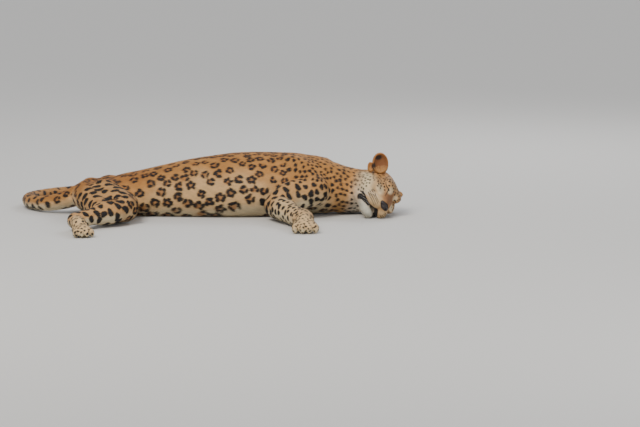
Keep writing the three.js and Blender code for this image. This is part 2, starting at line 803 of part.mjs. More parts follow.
const leopard = new THREE.Group();
for (const [name, solid] of Object.entries(solids)) {
  const mesh = new THREE.Mesh(geometryOf(largest(solid)), finishOf(name));
  mesh.name = name;
  leopard.add(mesh);
}

export default leopard;
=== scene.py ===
"""Dresses the sleeping leopard: skin, markings, short fur, face, ears, whiskers and a plain studio."""

import math

import bmesh
import bpy
import numpy as np
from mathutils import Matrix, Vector


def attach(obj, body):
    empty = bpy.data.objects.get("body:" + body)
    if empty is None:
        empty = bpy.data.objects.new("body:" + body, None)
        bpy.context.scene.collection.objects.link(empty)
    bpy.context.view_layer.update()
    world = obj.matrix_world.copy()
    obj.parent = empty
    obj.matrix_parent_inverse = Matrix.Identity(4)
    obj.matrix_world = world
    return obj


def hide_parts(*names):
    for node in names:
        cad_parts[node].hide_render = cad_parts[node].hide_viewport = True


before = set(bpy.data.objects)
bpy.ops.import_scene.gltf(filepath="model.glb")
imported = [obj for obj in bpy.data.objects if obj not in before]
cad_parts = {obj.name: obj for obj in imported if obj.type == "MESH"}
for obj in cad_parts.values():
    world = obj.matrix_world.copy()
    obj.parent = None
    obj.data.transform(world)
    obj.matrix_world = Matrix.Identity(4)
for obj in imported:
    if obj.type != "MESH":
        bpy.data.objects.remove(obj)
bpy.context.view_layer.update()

MM = 0.001
RNG = np.random.default_rng(11)

# Anatomy, in millimetres
FLESH_BLEND = 34.0
LIMB_BLEND = 14.0
FACE_BLEND = 9.0
NECK_BLEND = 26
TAIL_BLEND = 26
LIMB_TO_TRUNK = 28
HEAD_REACH = 165
HEAD_AT = (503, -40, 84)
HEAD_FORWARD = (0.17, -0.92, -0.29)
HEAD_UP = (0.88, 0.0, 0.475)
EAR = dict(wide=30, tall=40, deep=23, wall=4.5, base=(-26, 66, 46))
POUCH = dict(wide=13, tall=19, deep=11, at=(-10, 35, 1))
EYE = dict(at=(60, 35, 42), deep=13, wide=20, tall=15, sunk=9)
SOCKET = dict(out=21, radius=24, blend=10)
NOSE = dict(at=(112, 0, -3), size=(15, 21, 14))

TRUNK = np.array(
    [
        [-592, 76, 34, 40],
        [-572, 92, 62, 24],
        [-520, 114, 94, 6],
        [-438, 144, 111, -8],
        [-356, 162, 112, -12],
        [-274, 181, 117, -14],
        [-192, 199, 128, -16],
        [-111, 212, 139, -16],
        [-29, 223, 146, -16],
        [54, 227, 144, -14],
        [136, 226, 133, -10],
        [218, 222, 117, -4],
        [275, 210, 103, 4],
        [322, 190, 88, 12],
        [350, 168, 62, 30],
    ],
    float,
)
FORE = {
    "right": dict(
        blade=(226, -66, 160), shoulder=(268, -106, 98),
        elbow=(136, -182, 52), wrist=(232, -386, 32), toes=(243, -524),
    ),
    "left": dict(
        blade=(226, 66, 153), shoulder=(268, 106, 92),
        elbow=(150, 176, 50), wrist=(318, 292, 32), toes=(424, 380),
    ),
}
HIND = {
    "right": dict(hip=(-486, -78, 78), knee=(-396, -262, 54), hock=(-556, -434, 36), toes=(-506, -614)),
    "left": dict(hip=(-480, 78, 74), knee=(-372, 218, 58), hock=(-548, 286, 38), toes=(-424, 412)),
}
FORE_PAW = dict(long=138, wide=99, high=48)
HIND_PAW = dict(long=118, wide=78, high=42)
NECK = [(296, 0, 108, 93), (372, 6, 88, 80), (436, 14, 81, 72), (470, 18, 80, 62)]
TAIL = [
    (-540, 0, 84, 50),
    (-585, 2, 68, 41),
    (-640, 8, 48, 34),
    (-708, 36, 33, 30),
    (-764, 100, 28, 28),
    (-788, 184, 27, 27),
    (-770, 270, 26, 26),
    (-716, 346, 26, 26),
    (-650, 414, 25, 25),
    (-578, 468, 25, 24),
    (-502, 498, 24, 23),
    (-446, 500, 23, 20),
]


# Small maths
def vec(v):
    return np.asarray(v, float)


def unit(v):
    v = vec(v)
    return v / np.linalg.norm(v)


def units(a):
    return a / np.maximum(np.linalg.norm(a, axis=1), 1e-9)[:, None]


def laid(D, N):
    """The directions, turned to lie along the surface."""
    return units(D - (D * N).sum(1)[:, None] * N)


def between(a, b, t):
    return vec(a) + (vec(b) - vec(a)) * t


def smooth(x, a, b):
    t = np.clip((x - a) / (b - a), 0, 1)
    return t * t * (3 - 2 * t)


def polyline(points, closer=4):
    """A smooth path through the points."""
    p = vec(points)
    out = []
    for i in range(len(p) - 1):
        a, b = p[max(i - 1, 0)], p[i]
        c, d = p[i + 1], p[min(i + 2, len(p) - 1)]
        for t in np.arange(closer) / closer:
            out.append(b + 0.5 * t * (c - a + t * (2 * a - 5 * b + 4 * c - d + t * (3 * (b - c) + d - a))))
    out.append(p[-1])
    return np.array(out)


class Axes:
    """An origin and three unit axes: ahead, to its left, and up."""

    def __init__(self, at, ahead, up):
        x = unit(ahead)
        y = unit(np.cross(up, x))
        self.at = vec(at)
        self.rows = np.array([x, y, np.cross(x, y)])

    def world(self, p):
        return vec(p) @ self.rows + self.at

    def way(self, d):
        return vec(d) @ self.rows

    def local(self, P):
        return (P - self.at) @ self.rows.T


HEAD = Axes(HEAD_AT, HEAD_FORWARD, HEAD_UP)
NEAR = 70.0  # a part is only worked out this close to its own box
FAR = 1e3


class Form:
    """A distance field with the box that holds it."""

    def __init__(self, fn, lo, hi):
        self.fn, self.lo, self.hi = fn, vec(lo), vec(hi)

    def __call__(self, P):
        d = np.full(len(P), FAR)
        close = np.all((P > self.lo - NEAR) & (P < self.hi + NEAR), axis=1)
        if close.any():
            d[close] = self.fn(P[close])
        return d


def from_line(P, a, b):
    """Distance to a straight line from a to b, and how far along it the nearest point is."""
    ab = b - a
    t = np.clip(((P - a) @ ab) / max(ab @ ab, 1e-9), 0, 1)
    return np.linalg.norm(P - a - t[:, None] * ab, axis=1), t


def bar(a, b, ra, rb):
    a, b, r = vec(a), vec(b), max(ra, rb)

    def fn(P):
        d, t = from_line(P, a, b)
        return d - ra - (rb - ra) * t

    return Form(fn, np.minimum(a, b) - r, np.maximum(a, b) + r)


def lump(f, c, r):
    at, r = f.world(c), vec(r)

    def fn(P):
        q = (P - at) @ f.rows.T
        k0 = np.linalg.norm(q / r, axis=1)
        k1 = np.linalg.norm(q / (r * r), axis=1)
        return np.where(k1 < 1e-9, -r.min(), k0 * (k0 - 1) / np.maximum(k1, 1e-9))

    return Form(fn, at - r.max(), at + r.max())


def soften(a, b, k):
    h = np.maximum(0, k - np.abs(a - b)) / k
    return np.minimum(a, b) - h * h * k * 0.25


def merge(parts, k):
    def fn(P):
        d = np.full(len(P), FAR)
        for part in parts:
            d = soften(d, part(P), k)
        return d

    return Form(fn, np.min([p.lo for p in parts], axis=0), np.max([p.hi for p in parts], axis=0))


def rows_at(table, x):
    """The table's rows at each x, on a smooth curve."""
    i = np.clip(np.searchsorted(table[:, 0], x, side="left") - 1, 0, len(table) - 2)
    last = len(table) - 1
    p0, p1 = table[np.maximum(i - 1, 0)], table[i]
    p2, p3 = table[i + 1], table[np.minimum(i + 2, last)]
    t = np.clip((x - p1[:, 0]) / (p2[:, 0] - p1[:, 0]), 0, 1)[:, None]
    cubic = 2 * p0 - 5 * p1 + 4 * p2 - p3 + t * (3 * (p1 - p2) + p3 - p0)
    return p1 + 0.5 * t * (p2 - p0 + t * cubic)


def trunk_fn(P):
    x = np.clip(P[:, 0], TRUNK[0, 0], TRUNK[-1, 0])
    _, back, half, under = rows_at(TRUNK, x).T
    mid = under + (back - under) * 0.4
    reach = np.where(P[:, 2] > mid, back - mid, mid - under)
    qy = np.abs(P[:, 1]) / half
    qz = np.abs(P[:, 2] - mid) / reach
    n = 2.25
    k = np.maximum(1e-6, (qy**n + qz**n) ** (1 / n))
    slope = k ** (1 - n) * np.hypot(qy ** (n - 1) / half, qz ** (n - 1) / reach)
    flat = np.where(k < 0.2, -0.8 * np.minimum(half, reach), (k - 1) / np.maximum(slope, 1e-9))
    past = np.abs(P[:, 0] - x)
    return np.where(past > 0, np.hypot(np.maximum(0, flat), past) + np.minimum(0, flat), flat)


trunk = Form(trunk_fn, (-592, -147, -16), (350, 147, 227))


def paw(joint, toes, size):
    ahead = unit((toes[0] - joint[0], toes[1] - joint[1], 0))
    f = Axes((joint[0], joint[1], 0), ahead, (0, 0, 1))
    long, wide, high = size["long"], size["wide"], size["high"]
    start = np.hypot(toes[0] - joint[0], toes[1] - joint[1]) - long
    palm = [
        lump(f, (start + 0.34 * long, 0, 0.46 * high), (0.4 * long, 0.4 * wide, 0.48 * high)),
        lump(f, (start + 0.58 * long, 0, 0.5 * high), (0.3 * long, 0.45 * wide, 0.46 * high)),
    ]
    digit = (0.165 * long, 0.135 * wide, 0.38 * high)
    digits = [
        lump(f, (start + (0.845 - 0.6 * s * s) * long, s * wide, 0.36 * high), digit)
        for s in (-0.36, -0.125, 0.125, 0.36)
    ]
    return [merge(palm, LIMB_BLEND), merge(digits, 3)]


def toe_tip(toes):
    return (toes[0], toes[1], 24)


def foreleg(leg):
    blade, shoulder, elbow, wrist, toes = leg.values()
    arm = Axes(between(shoulder, elbow, 0.52), vec(elbow) - shoulder, (0, 0, 1))
    fore = Axes(between(elbow, wrist, 0.26), vec(wrist) - elbow, (0, 0, 1))
    knuckle = between(wrist, toe_tip(toes), 0.35)
    return [
        lump(Axes(blade, (0.8, 0, -0.6), (0.6, 0, 0.8)), (-6, 0, -4), (78, 42, 46)),
        bar(blade, shoulder, 44, 56),
        bar(shoulder, elbow, 56, 44),
        lump(arm, (8, 0, 16), (96, 46, 54)),
        bar(elbow, wrist, 43, 37),
        lump(fore, (0, 0, 3), (82, 48, 42)),
        bar(wrist, (knuckle[0], knuckle[1], 28), 37, 33),
        merge(paw(wrist, toes, FORE_PAW), 8),
    ]


def hindleg(leg):
    hip, knee, hock, toes = leg.values()
    thigh = Axes(between(hip, knee, 0.45), vec(knee) - hip, (0, 0, 1))
    calf = Axes(between(knee, hock, 0.28), vec(hock) - knee, (0, 0, 1))
    seat = (hip[0] - 62, hip[1] * 0.86, hip[2] - 4)
    ankle = between(hock, (toes[0], toes[1], 30), 0.45)
    return [
        lump(thigh, (-4, 0, -2), (124, 86, 51)),
        bar(hip, knee, 60, 47),
        bar(seat, between(knee, hock, 0.42), 56, 37),
        bar(knee, hock, 43, 28),
        lump(calf, (0, 0, 0), (96, 56, 43)),
        bar(hock, ankle, 26, 27),
        merge(paw(ankle, toes, HIND_PAW), 8),
    ]


def both(make):
    return [make(1), make(-1)]


def in_head(c, r):
    return lump(HEAD, c, r)


def head_bar(a, b, ra, rb):
    return bar(HEAD.world(a), HEAD.world(b), ra, rb)


def slopes(field, P, e=0.5):
    G = np.empty((len(P), 3))
    for i in range(3):
        step = np.zeros(3)
        step[i] = e
        G[:, i] = (field(P + step) - field(P - step)) / (2 * e)
    return G


def on_surface(field, P, steps=3):
    P = np.array(P, float).reshape(-1, 3)
    for _ in range(steps):
        G = slopes(field, P)
        P = P - G * (field(P) / np.maximum(0.05, (G * G).sum(1)))[:, None]
    return P


def head_lumps(*rows):
    """Lumps in the head's own axes, twice where they lie off its middle."""
    return [in_head((x, s * y, z), r) for (x, y, z), r in rows for s in ((1, -1) if y else (1,))]


skull = merge(
    head_lumps(
        ((-24, 0, 14), (71, 64, 56)),
        ((27, 0, 29), (50, 48, 37)),
        ((-62, 0, -4), (46, 60, 56)),
        ((6, 46, -16), (56, 33, 42)),
        ((-22, 46, -30), (50, 34, 44)),
    ),
    24,
)
muzzle = merge(
    [
        *head_lumps(((70, 0, -11), (51, 42, 36))),
        *both(lambda s: head_bar((40, s * 11, 32), (107, s * 9, 5), 18, 13)),
        *head_lumps(((94, 22, -24), (30, 27, 23)), ((70, 31, -34), (38, 20, 19))),
    ],
    FACE_BLEND,
)
brows = merge(head_lumps(((40, 31, 50), (25, 21, 14)), ((46, 46, 6), (36, 24, 21))), FACE_BLEND)
jaw = merge(
    [
        *head_lumps(((86, 0, -68), (24, 24, 18))),
        *both(lambda s: head_bar((80, s * 14, -67), (2, s * 38, -58), 17, 27)),
    ],
    12,
)
HEAD_LO, HEAD_HI = HEAD.at - HEAD_REACH, HEAD.at + HEAD_REACH


def face_fn(P):
    return soften(soften(skull(P), soften(muzzle(P), brows(P), 14), 18), jaw(P), 7)


face = Form(face_fn, HEAD_LO, HEAD_HI)
EYE_SPOT = {}
for name, s in (("right", -1), ("left", 1)):
    x, y, z = EYE["at"]
    spot = on_surface(face, [HEAD.world((x, s * y, z))], 6)
    EYE_SPOT[name] = (spot[0], unit(slopes(face, spot)[0]))


def head_fn(P):
    d = -face(P)
    for spot, way in EYE_SPOT.values():
        hollow = np.linalg.norm(P - (spot + way * SOCKET["out"]), axis=1) - SOCKET["radius"]
        d = soften(d, hollow, SOCKET["blend"])
    return -d


head_only = Form(head_fn, HEAD_LO, HEAD_HI)


def rods(rows):
    """Bars from each row, a place and a radius, to the next."""
    return [bar(a[:3], b[:3], a[3], b[3]) for a, b in zip(rows, rows[1:])]


neck = merge(rods(NECK), 30)
tail_rods = rods(polyline(TAIL))
tail = Form(
    lambda P: np.min([rod(P) for rod in tail_rods], axis=0),
    np.min([rod.lo for rod in tail_rods], axis=0),
    np.max([rod.hi for rod in tail_rods], axis=0),
)
limbs = [merge(parts, LIMB_BLEND) for parts in (*map(foreleg, FORE.values()), *map(hindleg, HIND.values()))]


def flesh(P):
    d = soften(trunk(P), soften(head_only(P), neck(P), NECK_BLEND), FLESH_BLEND)
    d = soften(d, tail(P), TAIL_BLEND)
    for limb in limbs:
        d = soften(d, limb(P), LIMB_TO_TRUNK)
    return d


# From a field to a mesh
def grid_values(field, axes, coarse=5):
    """Field values on a grid; only the cells near the surface are worked out in full."""
    n = [len(a) for a in axes]
    C = [a[::coarse] for a in axes]
    g = np.stack(np.meshgrid(*C, indexing="ij"), -1).reshape(-1, 3)
    V0 = field(g).reshape([len(c) for c in C])
    step = max(a[1] - a[0] for a in axes) * coarse
    V = V0[np.ix_(*(np.arange(k) // coarse for k in n))].astype(np.float32)
    ix = np.argwhere(np.abs(V) < step * 2.4 + 8)
    P = np.stack([a[i] for a, i in zip(axes, ix.T)], 1)
    out = np.empty(len(P), np.float32)
    for i in range(0, len(P), 400000):
        out[i : i + 400000] = field(P[i : i + 400000])
    V[tuple(ix.T)] = out
    V[V == 0] = 1e-6
    return V


def surface_net(field, lo, hi, h):
    """One vertex for each grid cell that the surface crosses, joined by quads."""
    axes = [np.arange(lo[i], hi[i] + h, h) for i in range(3)]
    V = grid_values(field, axes)
    inside = V < 0
    shape = np.array(V.shape) - 1
    total = np.zeros(shape, np.int8)
    for c in range(8):
        corner = (c & 1, (c >> 1) & 1, c >> 2)
        total += inside[tuple(slice(o, o + n) for o, n in zip(corner, shape))]
    cells = np.argwhere((total > 0) & (total < 8))
    ids = np.full(shape, -1, np.int64)
    ids[tuple(cells.T)] = np.arange(len(cells))
    P = np.zeros((len(cells), 3))
    N = np.zeros(len(cells))
    for ax in range(3):
        for n in range(4):
            a = cells.copy()
            a[:, (ax + 1) % 3] += n & 1
            a[:, (ax + 2) % 3] += n >> 1
            b = a.copy()
            b[:, ax] += 1
            va = V[tuple(a.T)].astype(float)
            vb = V[tuple(b.T)].astype(float)
            hit = (va < 0) != (vb < 0)
            t = np.where(hit, va / np.where(hit, va - vb, 1), 0)
            pos = a + t[:, None] * (b - a)
            P[hit] += pos[hit]
            N[hit] += 1
    P = P / N[:, None] * h + vec(lo)
    quads = []
    for ax in range(3):
        u, w = (ax + 1) % 3, (ax + 2) % 3
        a = [slice(None)] * 3
        b = [slice(None)] * 3
        a[ax], b[ax] = slice(0, -1), slice(1, None)
        e = np.argwhere(inside[tuple(a)] != inside[tuple(b)])
        e = e[(e[:, u] > 0) & (e[:, w] > 0) & (e[:, u] < shape[u]) & (e[:, w] < shape[w])]
        ring = []
        for du, dw in ((0, 0), (1, 0), (1, 1), (0, 1)):
            c = e.copy()
            c[:, u] -= du
            c[:, w] -= dw
            ring.append(ids[tuple(c.T)])
        q = np.stack(ring, 1)
        low_in = inside[tuple(e.T)]
        q[~low_in] = q[~low_in][:, ::-1]
        quads.append(q)
    return P, np.concatenate(quads)


def new_object(name, P, faces, smooth_shaded=True):
    mesh = bpy.data.meshes.new(name)
    P = np.asarray(P, np.float32) * np.float32(MM)
    faces = np.asarray(faces, np.int32)
    k = faces.shape[1]
    mesh.vertices.add(len(P))
    mesh.vertices.foreach_set("co", P.ravel())
    mesh.loops.add(faces.size)
    mesh.loops.foreach_set("vertex_index", faces.ravel())
    mesh.polygons.add(len(faces))
    mesh.polygons.foreach_set("loop_start", np.arange(0, faces.size, k, dtype=np.int32))
    mesh.polygons.foreach_set("use_smooth", np.full(len(faces), smooth_shaded))
    mesh.update(calc_edges=True)
    mesh.validate()
    obj = bpy.data.objects.new(name, mesh)
    bpy.context.scene.collection.objects.link(obj)
    return obj


def read(items, key, width, kind=np.float32):
    """The values of a mesh's items, a row for each."""
    values = np.empty(len(items) * width, kind)
    items.foreach_get(key, values)
    return values.reshape(-1, width)


def coords(mesh):
    return read(mesh.vertices, "co", 3).astype(float) / MM


def set_coords(mesh, P):
    mesh.vertices.foreach_set("co", (P * MM).astype(np.float32).ravel())
    mesh.update()


def set_colour(mesh, name, rgb):
    layer = mesh.attributes.new(name, "FLOAT_COLOR", "POINT")
    rgba = np.ones((len(rgb), 4), np.float32)
    rgba[:, :3] = rgb
    layer.data.foreach_set("color", rgba.ravel())


def set_value(mesh, name, values):
    layer = mesh.attributes.new(name, "FLOAT", "POINT")
    layer.data.foreach_set("value", np.asarray(values, np.float32))


# Where on the animal a point is
FLOW = []  # start, end, lie of the coat, radius and kind of each length of the body


def add_flow(a, b, r, kind, way=None):
    a, b = vec(a), vec(b)
    FLOW.append((a, b, unit(b - a if way is None else way), r, kind))


for leg in FORE.values():
    blade = leg["blade"]
    add_flow(blade, leg["shoulder"], 60, "shoulder", (-0.75, np.sign(blade[1]) * 0.2, -0.6))
    add_flow(leg["shoulder"], leg["elbow"], 60, "arm")
    add_flow(leg["elbow"], leg["wrist"], 42, "forearm")
    add_flow(leg["wrist"], toe_tip(leg["toes"]), 34, "forepaw")
for leg in HIND.values():
    add_flow(leg["hip"], leg["knee"], 78, "thigh")
    add_flow(leg["knee"], leg["hock"], 44, "shank")
    add_flow(leg["hock"], toe_tip(leg["toes"]), 28, "hindpaw")
for a, b in zip(TAIL, TAIL[1:]):
    add_flow(a[:3], b[:3], a[3], "tail")
add_flow((470, 20, 92), (372, 6, 88), 80, "neck")
add_flow((372, 6, 88), (280, 0, 108), 92, "neck")
for x in range(260, -560, -80):
    add_flow((x, 0, 95), (x - 80, 0, 95), 110, "trunk")
# Of each kind of body part: spacing of the marks in millimetres, their half length as a share of it, their
# stretch across a limb, and the length of the fur
LOOKS = dict(
    trunk=(37, 0.33, 1.0, 11.5),
    neck=(16.6, 0.39, 1.0, 13),
    shoulder=(15.7, 0.39, 1.0, 11),
    arm=(29.5, 0.43, 1.2, 10),
    forearm=(20.3, 0.41, 1.15, 8),
    forepaw=(12.5, 0.35, 1.1, 3.6),
    thigh=(36, 0.43, 1.05, 11),
    shank=(28.6, 0.42, 1.15, 9),
    hindpaw=(13.4, 0.35, 1.1, 3.6),
    tail=(26, 0.4, 1.15, 12),
    head=(11.2, 0.3, 1.1, 8),
)
KINDS = list(LOOKS)


def survey(P):
    """For each point: weights of the kinds of body part, and the lie of the coat."""
    W = np.zeros((len(P), len(KINDS)))
    D = np.zeros((len(P), 3))
    for a, b, way, r, kind in FLOW:
        w = np.exp(-np.clip(from_line(P, a, b)[0] - r, -25, 400) / 13.0)
        W[:, KINDS.index(kind)] += w
        D += w[:, None] * way
    dh = head_only(P)
    w = np.exp(-np.clip(dh - 4, -25, 400) / 9.0) * 3
    W[:, KINDS.index("head")] += w
    from_nose = HEAD.local(P) - vec((135, 0, 12))
    D += w[:, None] * units(from_nose @ HEAD.rows)
    W /= W.sum(1)[:, None] + 1e-12
    return W, D


def weight(W, *kinds):
    return sum(W[:, KINDS.index(k)] for k in kinds)


WAVES = [(unit(RNG.normal(size=3)), RNG.uniform(0, 6.28)) for _ in range(24)]


def noise(P, wavelength, first=0):
    """Smooth noise of about -1 to 1."""
    total = np.zeros(len(P))
    for way, phase in WAVES[first : first + 8]:
        stretch = 0.7 + 0.6 * ((phase * 7.13) % 1)
        total += np.sin((P @ way) * 6.283 * stretch / wavelength + phase)
    return total / 3.2


# Skin
BODY_STEP = 5.6
FLOOR_CLEAR = 1.2
LID_DEPTH = 1.6  # of the furred lids over the domes


def coat_depth(P):
    """How deep the coat is over the skin, in millimetres."""
    q = HEAD.local(P)
    dh = head_only(P)
    on_head = smooth(-dh, -14, 0)
    front = smooth(q[:, 0], -40, 40)
    depth = 4.5 + 0 * dh
    for leg in (*FORE.values(), *HIND.values()):
        x, y = leg["toes"]
        near_toes = smooth(-np.hypot(P[:, 0] - x, P[:, 1] - y), -260, -90)
        depth = depth * (1 - near_toes) + 2.2 * near_toes
    return depth * (1 - on_head) + (3.6 - 2.2 * front) * on_head


HALF_LIP = [(40, 52, -50), (62, 48, -52), (88, 38, -50), (108, 20, -43)]
LIP_LINE = [*((x, -y, z) for x, y, z in HALF_LIP), (116, 0, -36), *HALF_LIP[::-1]]
DOMES = {}
for name, (spot, way) in EYE_SPOT.items():
    f = Axes(spot - way * EYE["sunk"], way, HEAD.rows[2])
    DOMES[name] = (f, lump(f, (0, 0, 0), (EYE["deep"], EYE["wide"], EYE["tall"])))


def skin_field(P):
    d = flesh(P) + coat_depth(P)
    for _, dome in DOMES.values():
        d = soften(d, dome(P) + LID_DEPTH, 5)
    return np.maximum(d, FLOOR_CLEAR - P[:, 2])


def path_distance(P, path):
    """Distance to a path, and how far along it the nearest point is, from 0 to 1."""
    best = np.full(len(P), 1e9)
    along = np.zeros(len(P))
    n = len(path) - 1
    for i in range(n):
        d, t = from_line(P, path[i], path[i + 1])
        near = d < best
        best[near] = d[near]
        along[near] = (i + t[near]) / n
    return best, along


LIPS = polyline(on_surface(skin_field, [HEAD.world(p) for p in LIP_LINE], 6))


def slit_of(name, s):
    """The line between the closed lids, from the outer to the inner corner of the eye."""
    f, _ = DOMES[name]
    points = []
    for t in np.linspace(-1, 1, 9):
        y = -s * t * 0.96 * EYE["wide"]
        z = 1.5 - 4.5 * (1 - t * t) - 3.5 * max(0, t) ** 3
        points.append(f.world((EYE["sunk"] + 2, y, z)))
    return on_surface(skin_field, points, 6)


SLITS = {name: slit_of(name, s) for name, s in (("right", -1), ("left", 1))}
PHILTRUM = on_surface(skin_field, [HEAD.world(p) for p in ((128, 0, -14), (122, 0, -26), (116, 0, -36))], 6)


def face_field(P):
    """The skin of the head with the fine folds of the mouth, and the groove under the nose."""
    d = skin_field(P)
    lip, along = path_distance(P, LIPS)
    ends = smooth(np.minimum(along, 1 - along), 0, 0.08)
    d = -soften(-d, lip - 1.0 - 2.2 * ends, 2.4)
    groove, _ = path_distance(P, PHILTRUM)
    d = -soften(-d, groove - 1.6, 2.2)
    for slit in SLITS.values():
        fold, _ = path_distance(P, slit)
        d = -soften(-d, fold - 1.1, 1.8)
    return d


def make_skin():
    lo, hi = (-830, -630, -4), (612, 530, 240)
    P, quads = surface_net(skin_field, lo, hi, BODY_STEP)
    P = on_surface(skin_field, P, 1)
    obj = new_object("skin", P, quads)
    mesh = obj.data
    for level in range(2):
        bm = bmesh.new()
        bm.from_mesh(mesh)
        C = np.array([f.calc_center_median() for f in bm.faces]) / MM
        q = HEAD.local(C)
        close = head_only(C) < 8
        if level == 0:
            chosen = close & (q[:, 0] > -70)
        else:
            chosen = close & (q[:, 0] > 40) & (np.abs(q[:, 1]) < 66) & (q[:, 2] > -88) & (q[:, 2] < 50)
        bm.faces.ensure_lookup_table()
        edges = {e for i in np.nonzero(chosen)[0] for e in bm.faces[i].edges}
        edges = sorted(edges, key=lambda e: e.index)
        bmesh.ops.subdivide_edges(bm, edges=edges, cuts=1, use_grid_fill=True)
        bmesh.ops.triangulate(bm, faces=[f for f in bm.faces if len(f.verts) > 4])
        bm.to_mesh(mesh)
        bm.free()
        P = coords(mesh)
        near = head_only(P) < 10
        P[near] = on_surface(face_field, P[near], 2)
        set_coords(mesh, P)
    mesh.polygons.foreach_set("use_smooth", np.ones(len(mesh.polygons), bool))
    return obj


# Colours
def linear(r, g, b):
    c = np.array([r, g, b]) / 255
    return np.where(c <= 0.04045, c / 12.92, ((c + 0.055) / 1.055) ** 2.4)


TAWNY = linear(194, 136, 70)
SADDLE = linear(172, 112, 52)
FLANK = linear(218, 176, 122)
NET = linear(204, 154, 96)
TAN = linear(216, 182, 134)
CREAM = linear(232, 212, 172)
WHITE = linear(232, 224, 206)
BLACK = linear(22, 17, 16)
UMBER = linear(56, 38, 26)
ROSE = linear(168, 104, 44)
BROW = linear(188, 144, 94)
# The nose bridge: partly its own brown, partly painted shade that darkens it
BRIDGE_BROWN_AND_SHADE = linear(134, 90, 56)
PAD = linear(208, 178, 134)
CHIN = linear(208, 202, 184)
EAR_IN = linear(138, 86, 46)
EAR_EDGE = linear(190, 126, 66)
NOSE_SKIN = linear(40, 30, 30)
LID_EDGE = linear(34, 24, 21)

# Soft patches of colour on each half of the head: centre, half sizes, colour and strength
TINTS = (
    ((40, 0, 66), (44, 44, 30), BROW, 0.7),
    ((10, 72, -32), (62, 44, 50), CREAM, 1.0),
    ((-4, 10, -96), (78, 84, 78), WHITE, 0.85),
    ((76, 46, 14), (22, 20, 16), CREAM, 0.7),
    # The bridge patch: its own brown, darkened with painted shade
    ((88, 0, 24), (54, 28, 30), BRIDGE_BROWN_AND_SHADE, 0.9),
    ((98, 32, -22), (32, 26, 22), PAD, 1.0),
    ((84, 0, -78), (46, 46, 34), CHIN, 1.0),
    ((76, 18, 43), (16, 12, 14), CREAM, 0.6),
)


def mix(a, b, t):
    """From a to b by t; each is one colour or a row for each point."""
    return a * (1 - t[:, None]) + b * t[:, None]


def pelt_colour(P, N, W):
    """The ground colour of the coat at each point."""
    n = 0.12 * noise(P, 160) + 0.08 * noise(P, 60, 8)
    up = N[:, 2]
    body = mix(CREAM, FLANK, smooth(up + n, -0.9, -0.3))
    rear = 0.35 * smooth(-P[:, 0], 240, 420)
    front = 0.4 * smooth(P[:, 0], 60, 240)
    body = mix(body, TAWNY, smooth(up + n + rear + front, 0.1, 0.85))
    body = mix(body, SADDLE, smooth(up + n + rear, 0.8, 1.2) * 0.8)
    low = smooth(-P[:, 2], -70, -20) * smooth(-np.abs(P[:, 0] - 25), -150, -60)
    out = mix(body, CREAM, 0.8 * low)
    for kinds, top, under in (
        (("thigh",), NET, TAN),
        (("shank",), NET, CREAM),
        (("neck", "shoulder"), TAWNY, NET),
        (("arm",), NET, CREAM),
        (("forearm",), TAN, CREAM),
        (("forepaw", "hindpaw"), TAN, CREAM),
        (("tail",), TAWNY, CREAM),
    ):
        colour = mix(under, top, smooth(up + n, -0.45, 0.35))
        out = mix(out, colour, smooth(weight(W, *kinds) + 0.5 * n, 0.12, 0.9))
    q = HEAD.local(P)
    half = np.stack([q[:, 0], np.abs(q[:, 1]), q[:, 2]], 1)
    head = mix(TAWNY, BROW, smooth(q[:, 0], -30, 50))
    for centre, reach, colour, strength in TINTS:
        off = np.linalg.norm((half - vec(centre)) / vec(reach), axis=1) + 0.8 * n
        head = mix(head, colour, strength * smooth(-off, -1.35, -0.5))
    fade = smooth(P[:, 0] - 0.35 * (P[:, 2] - 60) + 40 * n, 378, 440)
    out = mix(out, head, fade * smooth(weight(W, "head", "neck"), 0.3, 0.8))
    return out * (1 + 0.05 * noise(P, 18, 12))[:, None]


# Markings
def tail_along(P):
    return path_distance(P, vec([p[:3] for p in TAIL]))[1]


MOST_TRIES = 60000
CLOSEST = 0.92  # least distance between two marks, as a share of their spacing


